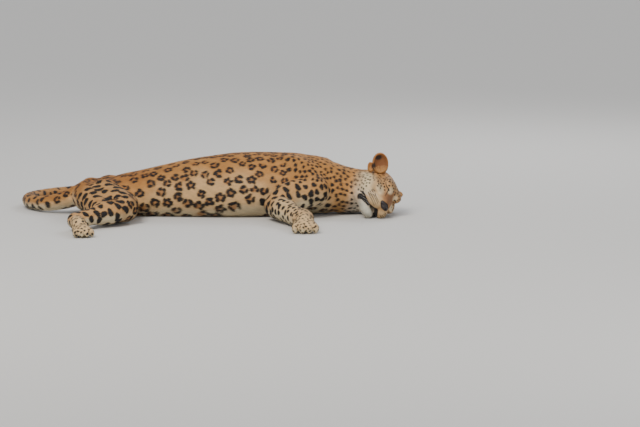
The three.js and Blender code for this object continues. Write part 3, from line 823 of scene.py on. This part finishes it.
def pick_seeds(P, N, W, L):
    """Places for the markings, scattered evenly over the skin."""
    spacing, fill, stretch = (W @ vec([LOOKS[k][:3] for k in KINDS])).T
    q = HEAD.local(P)
    flank = weight(W, "trunk")
    spacing = spacing * (1 + flank * (0.22 * smooth(-N[:, 2], -0.5, 0.4) - 0.12 * smooth(N[:, 2], 0.6, 1)))
    spacing *= 1 + 0.3 * weight(W, "head") * smooth(-q[:, 0], -20, 20)
    small = smooth(P[:, 0], 150, 235) * np.maximum(smooth(P[:, 2], 95, 135), smooth(P[:, 0], 300, 360))
    spacing = np.minimum(spacing, 16.4 + 30 * (1 - small))
    on_head = weight(W, "head") > 0.5
    bare = on_head & ((q[:, 0] > 70) | (q[:, 2] < -60) | ((q[:, 0] > 44) & (q[:, 2] < 10)))
    bare |= P[:, 2] < 5
    bare |= (P[:, 2] < 42) & (np.abs(P[:, 0] - 25) < 80) & (np.abs(P[:, 1]) < 160)
    for slit in SLITS.values():
        bare |= path_distance(P, slit)[0] < 9
    bare |= on_head & (np.linalg.norm(np.abs(q) - vec((76, 18, 43)), axis=1) < 15)
    pool = np.nonzero(~bare)[0]
    RNG.shuffle(pool)
    pool = pool[:MOST_TRIES]
    C, S = P[pool], CLOSEST * spacing[pool]
    T = laid(L[pool], N[pool])
    B = np.cross(N[pool], T)
    alive = np.ones(len(pool), bool)
    chosen = []
    for i in range(len(pool)):
        if not alive[i]:
            continue
        chosen.append(i)
        root = math.sqrt(stretch[pool[i]])
        near = np.nonzero(alive & (np.abs(C[:, 0] - C[i, 0]) < S[i] * root))[0]
        d = C[near] - C[i]
        along, across = d @ T[i], d @ B[i]
        off = (d * d).sum(1) + (root**2 - 1) * along**2 + (1 / root**2 - 1) * across**2
        alive[near[off < S[i] ** 2]] = False
    k = pool[chosen]
    return dict(
        at=P[k],
        normal=N[k],
        along=T[chosen],
        across=B[chosen],
        size=spacing[k] * RNG.uniform(0.9, 1.08, len(k)),
        fill=fill[k],
        stretch=stretch[k],
        ring=weight(W[k], "trunk") + 0.8 * weight(W[k], "thigh") * smooth(P[k, 0], -440, -360) > 0.55,
    )


def turned(T, B, angle):
    c, s = math.cos(angle), math.sin(angle)
    return T * c + B * s, B * c - T * s


def make_marks(seeds):
    """Every dark blotch: a rosette is a ring of three to five, elsewhere each place has one."""
    rows, hearts = [], []
    for i, ring in enumerate(seeds["ring"]):
        c, N, T, B, s = (seeds[key][i] for key in ("at", "normal", "along", "across", "size"))
        if not ring:
            root = math.sqrt(seeds["stretch"][i])
            u, v = turned(T, B, RNG.normal(0, 0.25))
            long = s * seeds["fill"][i]
            wide = long / root * RNG.uniform(0.9, 1.12)
            rows.append((c, N, u, v, wide, long * root * RNG.uniform(0.9, 1.12)))
            continue
        count = RNG.choice([3, 4, 5], p=[0.35, 0.45, 0.2])
        radius = s * (0.285 + 0.02 * count / 4) * RNG.uniform(0.9, 1.12)
        first = RNG.uniform(0, 6.283)
        gap = RNG.uniform() < 0.35
        hearts.append((*c, radius * 1.05))
        for j in range(count - (gap and count > 3)):
            turn = first + (j + RNG.uniform(-0.14, 0.14)) * 6.283 / count
            out = T * math.cos(turn) + 0.88 * B * math.sin(turn)
            v, u = turned(T, B, turn)
            wide = radius * 3.14 / count * RNG.uniform(0.82, 1.08)
            rows.append((c + out * radius, N, u, v, wide, s * RNG.uniform(0.14, 0.2)))
    phase = RNG.uniform(0, 6.283, (len(rows), 2))
    return [*map(vec, zip(*rows)), phase, vec(hearts)]


CELL = 24.0  # of the grid that finds the points near a mark
NO_INK = -12.0


def sorter(P):
    """A function that gives the points in the cells about a place."""
    key = np.floor(P / CELL).astype(np.int64)
    lo = key.min(0) - 2
    dims = key.max(0) - lo + 3
    flat = ((key[:, 0] - lo[0]) * dims[1] + key[:, 1] - lo[1]) * dims[2] + key[:, 2] - lo[2]
    order = np.argsort(flat, kind="stable")
    ranked = flat[order]

    def around(c, r):
        k0 = np.clip(np.floor((c - r) / CELL).astype(int) - lo, 0, dims - 1)
        k1 = np.clip(np.floor((c + r) / CELL).astype(int) - lo, 0, dims - 1)
        i, j = np.meshgrid(np.arange(k0[0], k1[0] + 1), np.arange(k0[1], k1[1] + 1))
        row = ((i * dims[1] + j) * dims[2]).ravel()
        starts = np.searchsorted(ranked, row + k0[2], "left")
        ends = np.searchsorted(ranked, row + k1[2], "right")
        return np.concatenate([order[x:y] for x, y in zip(starts, ends)])

    return around


def ink_of(marks, P, N):
    """Signed depth inside the nearest marking, in millimetres, and how far inside a rosette a point lies."""
    ink = np.full(len(P), NO_INK)
    heart = np.zeros(len(P))
    around = sorter(P)
    at, normal, u, v, a, b, phase, hearts = marks
    for i in range(len(at)):
        reach = 1.3 * max(a[i], b[i])
        j = around(at[i], reach)
        if not len(j):
            continue
        d = P[j] - at[i]
        x, y = d @ u[i], d @ v[i]
        keep = (np.abs(x) < reach) & (np.abs(y) < reach)
        keep &= (np.abs(d @ normal[i]) < 14) & (N[j] @ normal[i] > 0.1)
        j, x, y = j[keep], x[keep] / a[i], y[keep] / b[i]
        turn = np.arctan2(y, x)
        wave = 1 + 0.13 * np.cos(2 * turn + phase[i, 0]) + 0.1 * np.cos(3 * turn + phase[i, 1])
        depth = (wave - (np.abs(x) ** 2.4 + np.abs(y) ** 2.4) ** (1 / 2.4)) * min(a[i], b[i])
        ink[j] = np.maximum(ink[j], depth)
    for *c, r in hearts:
        j = around(vec(c), r + 2)
        d = np.linalg.norm(P[j] - vec(c), axis=1)
        heart[j] = np.maximum(heart[j], smooth(r - d, -2, 4))
    return ink, heart


# Drawn marks of each half of the face: points, half width at the start and the end, and how broken they are
STROKES = [
    *(
        (((64, 53, z), (95, 48, z - 1), (114, 40, z - 1), (121, 25, z - 3)), 2.1, 1.6, 0.9)
        for z in (-9, -16, -23, -30)
    ),
    (((46, 45, -64), (62, 45, -56), (90, 40, -47)), 12.5, 3.5, 0),
    # Black lower lip, widened over the gap under the upper lip: partly the lip's own black, partly painted
    # shadow
    (((66, 40, -57), (88, 28, -52), (102, 13, -44), (108, 0, -41)), 7, 8.5, 0),
    (((70, 28, 39), (76, 22, 29), (94, 22, 16)), 2.6, 0.8, 0),
    (((38, 52, 44), (22, 58, 40)), 2.4, 0.8, 0),
    (((30, 52, 51), (45, 48, 56), (60, 40, 57)), 1.5, 1.8, 0.5),
    (((26, 40, 62), (44, 34, 66), (58, 24, 62)), 1.6, 1.6, 0.9),
    (((10, 22, 70), (30, 16, 70), (52, 10, 62)), 1.7, 1.4, 1.0),
]


def face_paths():
    for points, first, last, broken in STROKES:
        for s in (1, -1):
            spots = [HEAD.world((x, s * y, z)) for x, y, z in points]
            yield on_surface(skin_field, polyline(spots, 3), 6), first, last, broken


PATHS = [*face_paths(), *((slit, 1.5, 1.9, 0) for slit in SLITS.values()), (LIPS, 4.8, 4.8, 0)]


def nose_reach(P):
    """0 at the middle of the nose, 1 at its edge."""
    return np.linalg.norm((HEAD.local(P) - vec(NOSE["at"])) / vec(NOSE["size"]), axis=1)


def head_ink(P, ink):
    """The drawn marks of the face: lips, the lower one widened with painted shadow under the upper lip,
    whisker rows, the corner of the mouth and the lines at the eyes.
    """
    out = ink.copy()
    near = np.nonzero(head_only(P) < 14)[0]
    for path, first, last, broken in PATHS:
        reach = max(first, last) + 2
        inside = np.all((P[near] > path.min(0) - reach) & (P[near] < path.max(0) + reach), axis=1)
        j = near[inside]
        if not len(j):
            continue
        d, along = path_distance(P[j], path)
        steps = np.linalg.norm(np.diff(path, axis=0), axis=1).sum() / 8.5
        depth = first + (last - first) * along - d - broken * (1 - np.cos(along * 6.283 * steps)) / 2
        out[j] = np.maximum(out[j], depth)
    out[near] = np.maximum(out[near], 14 * (1.02 - nose_reach(P[near])))
    return out


def face_marks(P):
    """1 on the face, where the small spots are browner, but not at the mouth."""
    lip, _ = path_distance(P, LIPS)
    return smooth(-head_only(P), -12, -2) * smooth(lip, 16, 28)


TAIL_BANDS, TAIL_BLACK = 0.66, 0.965  # where the bands and the black tip start along the tail


def all_ink(marks, P, N, W):
    ink, heart = ink_of(marks, P, N)
    ink = head_ink(P, ink)
    on_tail = weight(W, "tail") > 0.5
    if on_tail.any():
        t = tail_along(P[on_tail])
        band = np.cos(t * 6.283 * 17 + 0.5 * noise(P[on_tail], 60)) * 7 - 1.5
        band = np.where(t > TAIL_BLACK, 8, band)
        band = np.where(N[on_tail, 2] < -0.2, NO_INK, band)
        ink[on_tail] = np.where(t > TAIL_BANDS, band, ink[on_tail])
        heart[on_tail] *= t < TAIL_BANDS
    return ink, heart


def dress(marks, P, N):
    """Colour of the ground, ink depth, weights of kinds and lie of the coat at each point."""
    W, L = survey(P)
    ink, heart = all_ink(marks, P, N, W)
    ground = pelt_colour(P, N, W)
    ground = mix(ground, ROSE, heart * 0.75)
    return ground, ink, W, L


INK_EDGE = 0.9  # half the width of the soft edge of a mark on the skin


def material(name, **inputs):
    mat = bpy.data.materials.new(name)
    mat.use_nodes = True
    shader = mat.node_tree.nodes["Principled BSDF"]
    for key, value in inputs.items():
        shader.inputs[key.replace("_", " ")].default_value = value
    return mat, mat.node_tree, shader


def add_bump(tree, shader, texture, output, distance):
    """Raises the surface a little with a texture in the object's own coordinates."""
    place = tree.nodes.new("ShaderNodeTexCoord")
    bump = tree.nodes.new("ShaderNodeBump")
    bump.inputs["Strength"].default_value = 0.35
    bump.inputs["Distance"].default_value = distance
    tree.links.new(place.outputs["Object"], texture.inputs["Vector"])
    tree.links.new(texture.outputs[output], bump.inputs["Height"])
    tree.links.new(bump.outputs["Normal"], shader.inputs["Normal"])


def attribute(tree, name):
    node = tree.nodes.new("ShaderNodeAttribute")
    node.attribute_name = name
    return node


def skin_material():
    """The ground colour of the coat, black where the ink is deeper than nothing."""
    mat, tree, shader = material("spotted_skin", Roughness=0.85)
    ground, depth = attribute(tree, "ground"), attribute(tree, "ink")
    edge = tree.nodes.new("ShaderNodeMapRange")
    edge.inputs["From Min"].default_value = -INK_EDGE
    edge.inputs["From Max"].default_value = INK_EDGE
    blend = tree.nodes.new("ShaderNodeMix")
    blend.data_type = "RGBA"
    blend.inputs["B"].default_value = (*BLACK, 1)
    fine = tree.nodes.new("ShaderNodeTexNoise")
    fine.inputs["Scale"].default_value = 420
    add_bump(tree, shader, fine, "Fac", 0.002)
    link = tree.links.new
    link(depth.outputs["Fac"], edge.inputs["Value"])
    link(edge.outputs["Result"], blend.inputs["Factor"])
    link(ground.outputs["Color"], blend.inputs["A"])
    link(blend.outputs["Result"], shader.inputs["Base Color"])
    return mat


def hair_material():
    mat, tree, shader = material("short_fur", Roughness=0.7, Sheen_Weight=0.05, Sheen_Roughness=0.5)
    tree.links.new(attribute(tree, "hair").outputs["Color"], shader.inputs["Base Color"])
    return mat


SKIN_MAT = skin_material()
HAIR_MAT = hair_material()


def normals_of(mesh):
    return read(mesh.vertices, "normal", 3).astype(float)


# Coat of tufts
def unwrap(obj):
    """An unwrap of the object's own shape, as the map OFBake."""
    obj.data.uv_layers.new(name="OFBake")
    bpy.ops.object.select_all(action="DESELECT")
    obj.select_set(True)
    bpy.context.view_layer.objects.active = obj
    bpy.ops.object.mode_set(mode="EDIT")
    bpy.ops.mesh.select_all(action="SELECT")
    bpy.ops.uv.smart_project(angle_limit=math.radians(66), island_margin=0.002)
    bpy.ops.object.mode_set(mode="OBJECT")


def scatter(obj, count, density):
    """Roots of tufts: points on the object's triangles, with normals and places on its unwrap."""
    mesh = obj.data
    mesh.calc_loop_triangles()
    tri = read(mesh.loop_triangles, "vertices", 3, np.int32)
    loops = read(mesh.loop_triangles, "loops", 3, np.int32)
    uv = read(mesh.uv_layers["OFBake"].data, "uv", 2)
    P, N = coords(mesh), normals_of(mesh)
    A, B, C = P[tri[:, 0]], P[tri[:, 1]], P[tri[:, 2]]
    area = 0.5 * np.linalg.norm(np.cross(B - A, C - A), axis=1)
    share = area * density((A + B + C) / 3, units(N[tri].mean(1)))
    total = np.cumsum(share)
    picks = (np.arange(count) + RNG.uniform(0, 1, count)) / count * total[-1]
    k = np.searchsorted(total, picks)
    a, b = RNG.uniform(0, 1, count), RNG.uniform(0, 1, count)
    flip = a + b > 1
    a[flip], b[flip] = 1 - a[flip], 1 - b[flip]
    w = np.stack([1 - a - b, a, b], 1)[:, :, None]
    return (P[tri[k]] * w).sum(1), units((N[tri[k]] * w).sum(1)), (uv[loops[k]] * w).sum(1)


FACES = np.array([[0, 3, 2], [1, 2, 3], [0, 1, 3], [0, 2, 1]])


def blade_ends(P, N, T, length, lift):
    """Where each tuft's body lies and where its tip ends."""
    tip_way = T * np.cos(lift)[:, None] + N * np.sin(lift)[:, None]
    return tip_way, P + tip_way * length[:, None]


def tuft_pieces(name, P, N, UV, T, length, wide, lift, rgb, rgb_tip, limit=48000):
    """Joined tufts, each a thin closed blade that lies along the coat."""
    side = np.cross(N, T)
    count = len(P)
    tip_way, tip = blade_ends(P, N, T, length, lift)
    half = (wide / 2)[:, None]
    ridge = P + N * 0.28 * wide[:, None] + T * (length * 0.12)[:, None]
    V = np.stack([P - side * half - N * 0.5, P + side * half - N * 0.5, ridge, tip], 1)
    V[:, :, 2] = np.maximum(V[:, :, 2], 0.5)
    # Painted shade: each tuft is darkened at its root and a little at its ridge, and painted light brightens
    # its tip
    painted_root_shade = vec([0.84, 0.84, 0.97])
    colours = np.concatenate([rgb[:, None, :] * painted_root_shade[None, :, None], rgb_tip[:, None, :] * 1.04], 1)
    colours = np.clip(colours, 0, 1)
    bend = units(N * 0.9 + tip_way * 0.18 + RNG.normal(0, 0.13, (count, 3)))
    spread = vec([[-1, -1], [1, -1], [0, 0.4], [0, 1]]) * 0.0012
    pieces = []
    for n, i in enumerate(range(0, count, limit)):
        part = slice(i, min(i + limit, count))
        m = part.stop - part.start
        faces = (FACES[None] + np.arange(m)[:, None, None] * 4).reshape(-1, 3)
        obj = new_object(f"{name}_{n}", V[part].reshape(-1, 3), faces)
        mesh = obj.data
        set_colour(mesh, "hair", colours[part].reshape(-1, 3))
        uv = (UV[part][:, None, :] + spread[None]).reshape(-1, 2)
        layer = mesh.uv_layers.new(name="OFBake")
        layer.data.foreach_set("uv", uv[faces.ravel()].astype(np.float32).ravel())
        mesh.normals_split_custom_set_from_vertices(np.repeat(bend[part], 4, axis=0))
        mesh.materials.append(HAIR_MAT)
        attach(obj, "root")
        pieces.append(obj)
    return pieces


def coat_numbers(P, N, W):
    """Length, width and lift of the tufts at each root."""
    q = HEAD.local(P)
    length = W @ vec([LOOKS[k][3] for k in KINDS])
    belly = smooth(-P[:, 2], -60, -20) * smooth(-N[:, 2], -0.3, 0.5) * weight(W, "trunk")
    length += 5 * belly
    on_head = smooth(weight(W, "head"), 0.3, 0.7)
    front = smooth(q[:, 0], -30, 92)
    ruff = smooth(np.abs(q[:, 1]), 44, 66) * smooth(-q[:, 2], -6, 24) * smooth(-q[:, 0], -30, 10)
    by_eye = np.min([path_distance(P, slit)[0] for slit in SLITS.values()], axis=0)
    chin = smooth(-q[:, 2], 56, 70) * smooth(q[:, 0], 30, 60)
    by_lip, _ = path_distance(P, LIPS)
    head_length = (8.5 - 5.2 * front + 7 * ruff + 3.5 * chin) * (0.7 + 0.3 * smooth(by_eye, 6, 20))
    head_length *= 0.3 + 0.7 * smooth(by_lip, 2, 12)
    length = length * (1 - on_head) + head_length * on_head
    length *= RNG.uniform(0.75, 1.2, len(P))
    wide = 0.5 + 0.09 * length
    lift = RNG.uniform(0.05, 0.26, len(P)) + 0.1 * belly
    return length, wide, lift


def lie_on(N, L, jitter):
    return laid(laid(L, N) + RNG.normal(0, jitter, L.shape), N)


def grow_coat(skin, marks, count):
    def density(P, N):
        q = HEAD.local(P)
        near = head_only(P) < 8
        face_on = near & (q[:, 0] > 20)
        d = np.where(face_on, 3.4, np.where(near, 1.9, 1.0))
        for leg in (*FORE.values(), *HIND.values()):
            x, y = leg["toes"]
            d = np.where(np.hypot(P[:, 0] - x, P[:, 1] - y) < 120, 3.0, d)
        for path in (LIPS, *SLITS.values()):
            d *= np.where(near & (path_distance(P, path)[0] < 3.2), 0.08, 1)
        d *= np.where(near & (nose_reach(P) < 0.99), 0, 1)
        d *= np.where((P[:, 2] < 3) & (N[:, 2] < -0.5), 0.02, 1)
        return d

    P, N, UV = scatter(skin, count, density)
    ground, _, W, L = dress(marks, P, N)
    length, wide, lift = coat_numbers(P, N, W)
    T = lie_on(N, L, 0.13)
    flecks = RNG.normal(0, 0.6, len(P))
    tone = 1 + RNG.normal(0, 0.07, len(P))
    dark = mix(BLACK, UMBER, 0.55 * face_marks(P))

    def tinted(at):
        depth, _ = all_ink(marks, P + T * (length * at)[:, None], N, W)
        return mix(ground * tone[:, None], dark, smooth(depth + flecks, -0.7, 0.7))

    return tuft_pieces("coat", P, N, UV, T, length, wide, lift, tinted(0.25), tinted(0.75))


# Eyes, nose and ears
def small_form(name, field, centre, reach, step, mat, nodes):
    c = vec(centre)
    P, quads = surface_net(field, c - reach, c + reach, step)
    P = on_surface(field, P, 2)
    obj = new_object(name, P, quads)
    obj.data.materials.append(mat)
    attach(obj, "root")
    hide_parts(*nodes)
    return obj


def carve(field, cutters, k):
    def fn(P):
        d = -field(P)
        for c in cutters:
            d = soften(d, c(P), k)
        return -d

    return fn


def make_eyes():
    """The dark edges of the closed lids, with the fine line between them."""
    mat, _, _ = material("lid_edge", Roughness=0.45, Base_Color=(*LID_EDGE, 1))
    for name, slit in SLITS.items():
        way = EYE_SPOT[name][1]
        radii = 0.45 + 0.75 * np.sin(np.linspace(0.12, math.pi - 0.12, len(slit)))
        edge = merge([bar(a, b, r, t) for a, b, r, t in zip(slit, slit[1:], radii, radii[1:])], 1)
        outer = slit + way * 1.2
        line = merge([bar(a, b, 0.4, 0.4) for a, b in zip(outer, outer[1:])], 1)
        step = 0.5
        lids = carve(edge, [line], 0.8)
        small_form(f"eyelids_{name}", lids, slit.mean(0), 26, step, mat, [f"eye_{name}"])


def make_nose():
    body = merge(
        [
            in_head((111.5, 0, -1.5), (14, 20, 9)),
            in_head((112.5, 0, -8.5), (13.5, 11, 8)),
            *both(lambda s: in_head((111, s * 14.5, -4.5), (12, 7.8, 8.5))),
        ],
        6,
    )
    cuts = [
        *both(lambda s: head_bar((127, s * 6.5, -4), (120, s * 14, -7), 3.0, 2.5)),
        *both(lambda s: head_bar((122, s * 13, -7), (117.5, s * 20, -6.5), 1.8, 1.2)),
        head_bar((127.5, 0, -1), (125.5, 0, -20), 0.8, 1.0),
    ]
    field = carve(body, cuts, 2.4)
    mat, tree, shader = material("nose_leather", Roughness=0.42)
    shader.inputs["Base Color"].default_value = (*NOSE_SKIN, 1)
    grain = tree.nodes.new("ShaderNodeTexVoronoi")
    grain.inputs["Scale"].default_value = 900
    add_bump(tree, shader, grain, "Distance", 0.0006)
    centre = HEAD.world((112, 0, -5))
    return small_form("nose_leather", field, centre, 30, 0.9, mat, ["nose"])


def ear_field(s, along, facing):
    root = HEAD.world((EAR["base"][0], s * EAR["base"][1], EAR["base"][2]))
    f = Axes(root + HEAD.way(along) * 0.5 * EAR["tall"], HEAD.way(along), HEAD.way(facing))

    def cup(size, at):
        r = vec((size["tall"], size["wide"], size["deep"]))
        outer = lump(f, at, r - 1.0)
        inner = lump(f, (at[0] + 2, at[1], at[2] + 0.6 * size["deep"]), r - EAR["wall"] + 0.2)
        return Form(lambda P: -soften(-outer(P), inner(P), 1.5), outer.lo, outer.hi)

    pouch = (POUCH["at"][0], -s * POUCH["at"][1], POUCH["at"][2])
    return f, merge([cup(EAR, (0, 0, 0)), cup(POUCH, pouch)], 3)


EAR_TUFTS, QUICK_EAR_TUFTS = 11000, 1500
EAR_POSE = {
    "right": (-1, (-0.25, -0.86, 0.42), (0.88, -0.42, 0.22)),
    "left": (1, (-0.75, 0.58, -0.2), (0.5, 0.75, 0.3)),
}


def make_ears():
    for name, (s, along, facing) in EAR_POSE.items():
        along, facing = vec(along), vec(facing)
        f, field = ear_field(s, along, facing)
        step = 1.5
        obj = small_form(f"ear_skin_{name}", field, f.at, 48, step, SKIN_MAT, [f"ear_{name}"])
        P, N = coords(obj.data), normals_of(obj.data)

        def paint(P, N):
            q = f.local(P)
            front = smooth((N @ f.rows[2]) + 0.25 * smooth(q[:, 2], 0, 10), -0.05, 0.35)
            rim = smooth(np.hypot(q[:, 0] / EAR["tall"], q[:, 1] / EAR["wide"]), 0.72, 0.96)
            inside = mix(EAR_IN, EAR_EDGE, rim)
            inside = mix(inside, TAWNY, smooth(-q[:, 0], 8, 30) * 0.6)
            # Painted shade in the hollow of the ear: a dark patch near its top and one by the pocket at its
            # base
            top_hollow_shade = np.hypot((q[:, 0] - 22) / 11, (q[:, 1] * -s - 5) / 14)
            pocket_shade = np.hypot((q[:, 0] + 9) / 15, (q[:, 1] * -s - 25) / 9)
            inside = mix(inside, UMBER, smooth(-np.minimum(top_hollow_shade, pocket_shade), -1.15, -0.6))
            behind = mix(BLACK, CREAM, smooth(-np.hypot(q[:, 0] - 4, q[:, 1]), -15, -7) * 0.9)
            behind = mix(behind, TAWNY, smooth(-q[:, 0], 8, 26))
            return mix(behind, inside, front)

        set_colour(obj.data, "ground", paint(P, N))
        set_value(obj.data, "ink", np.full(len(P), -9.0))
        unwrap(obj)
        count = EAR_TUFTS
        P, N, UV = scatter(obj, count, lambda P, N: np.ones(len(P)))
        q = f.local(P)
        outward = units(np.tile(f.rows[0], (len(P), 1)) + 0.8 * (q[:, 1] / EAR["wide"])[:, None] * f.rows[1])
        inner = (N @ f.rows[2] > 0.1) & (q[:, 2] > -18)
        base = smooth(-q[:, 0], 4, 30)
        length = np.where(inner, 4.5 + 4 * base, 3.2 + 3 * base) * RNG.uniform(0.7, 1.2, len(P))
        lift = np.where(inner, RNG.uniform(0.03, 0.25, len(P)), RNG.uniform(0.03, 0.16, len(P)))
        rgb = paint(P, N) * (1 + RNG.normal(0, 0.08, len(P)))[:, None]
        rgb = np.where((inner & (base > 0.2) & (RNG.uniform(0, 1, len(P)) < 0.3))[:, None], NET, rgb)
        T = lie_on(N, outward, 0.2)
        tuft_pieces(f"ear_fur_{name}", P, N, UV, T, length, 0.45 + 0.08 * length, lift, rgb, rgb)


def make_whiskers():
    """Thin tapered whiskers on both pads."""
    V, F = [], []
    sides, rings = 5, 7
    turns = [6.283 * m / sides for m in range(sides)]
    for s in (1, -1):
        for row in range(4):
            for k in range(2 + (row in (1, 2))):
                x, z = 104 - 9 * k - 1.5 * row, -16 - 6 * row + 1.3 * k
                root = on_surface(skin_field, [HEAD.world((x, s * (28 + 5 * k), z))], 5)[0]
                start = HEAD.local(root[None])[0]
                ahead = unit(vec((-0.1 - 0.22 * k, s * 0.9, -0.05 - 0.13 * row)) + RNG.normal(0, 0.05, 3))
                long = RNG.uniform(34, 58) * (1 if s < 0 else 0.8)
                droop = vec((-1.1, -0.5 * s, -0.3))
                along = np.linspace(0, 1, rings)[:, None]
                path = HEAD.world(start + ahead * long * along + droop * long * along * along * 0.5)
                path[:, 2] = np.maximum(path[:, 2], 2.0)
                base = len(V)
                for i, p in enumerate(path):
                    way = unit(path[min(i + 1, rings - 1)] - path[max(i - 1, 0)])
                    u = unit(np.cross(way, (0.3, 0.2, 1)))
                    w = np.cross(way, u)
                    r = 0.22 * (1 - 0.85 * i / (rings - 1))
                    V += [p + r * (u * math.cos(a) + w * math.sin(a)) for a in turns]
                for i in range((rings - 1) * sides):
                    a, b = base + i, base + i - i % sides + (i + 1) % sides
                    F.append((a, b, b + sides, a + sides))
    obj = new_object("whiskers", V, F)
    mat, _, _ = material("whisker", Roughness=0.4, Base_Color=(0.86, 0.84, 0.8, 1))
    obj.data.materials.append(mat)
    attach(obj, "root")


# Put together
TUFTS, QUICK_TUFTS = 330000, 30000
FLESH_NODES = [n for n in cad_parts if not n.startswith(("ear", "eye", "nose"))]
skin = make_skin()
skin.data.materials.append(SKIN_MAT)
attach(skin, "root")
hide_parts(*FLESH_NODES)
P, N = coords(skin.data), normals_of(skin.data)
W, L = survey(P)
marks = make_marks(pick_seeds(P, N, W, L))
ground, ink, _, _ = dress(marks, P, N)
set_colour(skin.data, "ground", ground)
set_value(skin.data, "ink", np.clip(ink, NO_INK, -NO_INK))
unwrap(skin)
print("skin", len(P), "marks", len(marks[0]))
grow_coat(skin, marks, TUFTS)
make_eyes()
make_nose()
make_ears()
make_whiskers()


# Floor, lights and camera
def aimed(name, data, at, way):
    obj = bpy.data.objects.new(name, data)
    obj.location = at
    obj.rotation_mode = "QUATERNION"
    obj.rotation_quaternion = way.to_track_quat("-Z", "Y")
    bpy.context.scene.collection.objects.link(obj)
    return obj


def light(name, kind, at, power, wide, colour=(1, 1, 1)):
    """A lamp that shines at the body: a disk, or a sun whose width is the angle it fills."""
    data = bpy.data.lights.new(name, kind)
    data.energy, data.color = power, colour
    if kind == "SUN":
        data.angle = wide
    else:
        data.shape, data.size = "DISK", wide
    aimed(name, data, at, Vector((0, 0, 0.1)) - Vector(at))


def studio():
    reach = 30000
    corners = [(-reach, -reach, -0.4), (reach, -reach, -0.4), (reach, reach, -0.4), (-reach, reach, -0.4)]
    floor = new_object("floor", corners, [(0, 1, 2, 3)], False)
    mat, _, _ = material("floor", Roughness=0.9, Base_Color=(0.62, 0.61, 0.59, 1))
    floor.data.materials.append(mat)
    world = bpy.data.worlds.new("studio")
    bpy.context.scene.world = world
    world.use_nodes = True
    world.node_tree.nodes["Background"].inputs["Color"].default_value = (0.92, 0.95, 1.0, 1)
    world.node_tree.nodes["Background"].inputs["Strength"].default_value = 0.62
    light("sky", "SUN", (-1.2, -2.6, 3.2), 1.35, 0.5, (1.0, 0.96, 0.9))
    light("key", "AREA", (-1.2, -2.6, 3.2), 62, 1.6, (1.0, 0.95, 0.87))
    light("rim", "AREA", (1.5, 2.4, 2.6), 40, 1.4)
    light("front", "AREA", (2.6, -3.2, 1.1), 26, 1.8)


def camera():
    """The photo's framing: 640 pixels at 275 to the metre, with the body 80 pixels left of the middle."""
    data = bpy.data.cameras.new("camera")
    elevation, distance, per_metre = math.radians(8), 9.0, 275
    back = Vector((0, -math.cos(elevation), math.sin(elevation)))
    data.sensor_width = 36
    data.lens = 36 * distance / (640 / per_metre)
    data.clip_end = 100
    at = Vector((80 / per_metre, 0, 0)) + back * distance
    bpy.context.scene.camera = aimed("camera", data, at, -back)


studio()
camera()
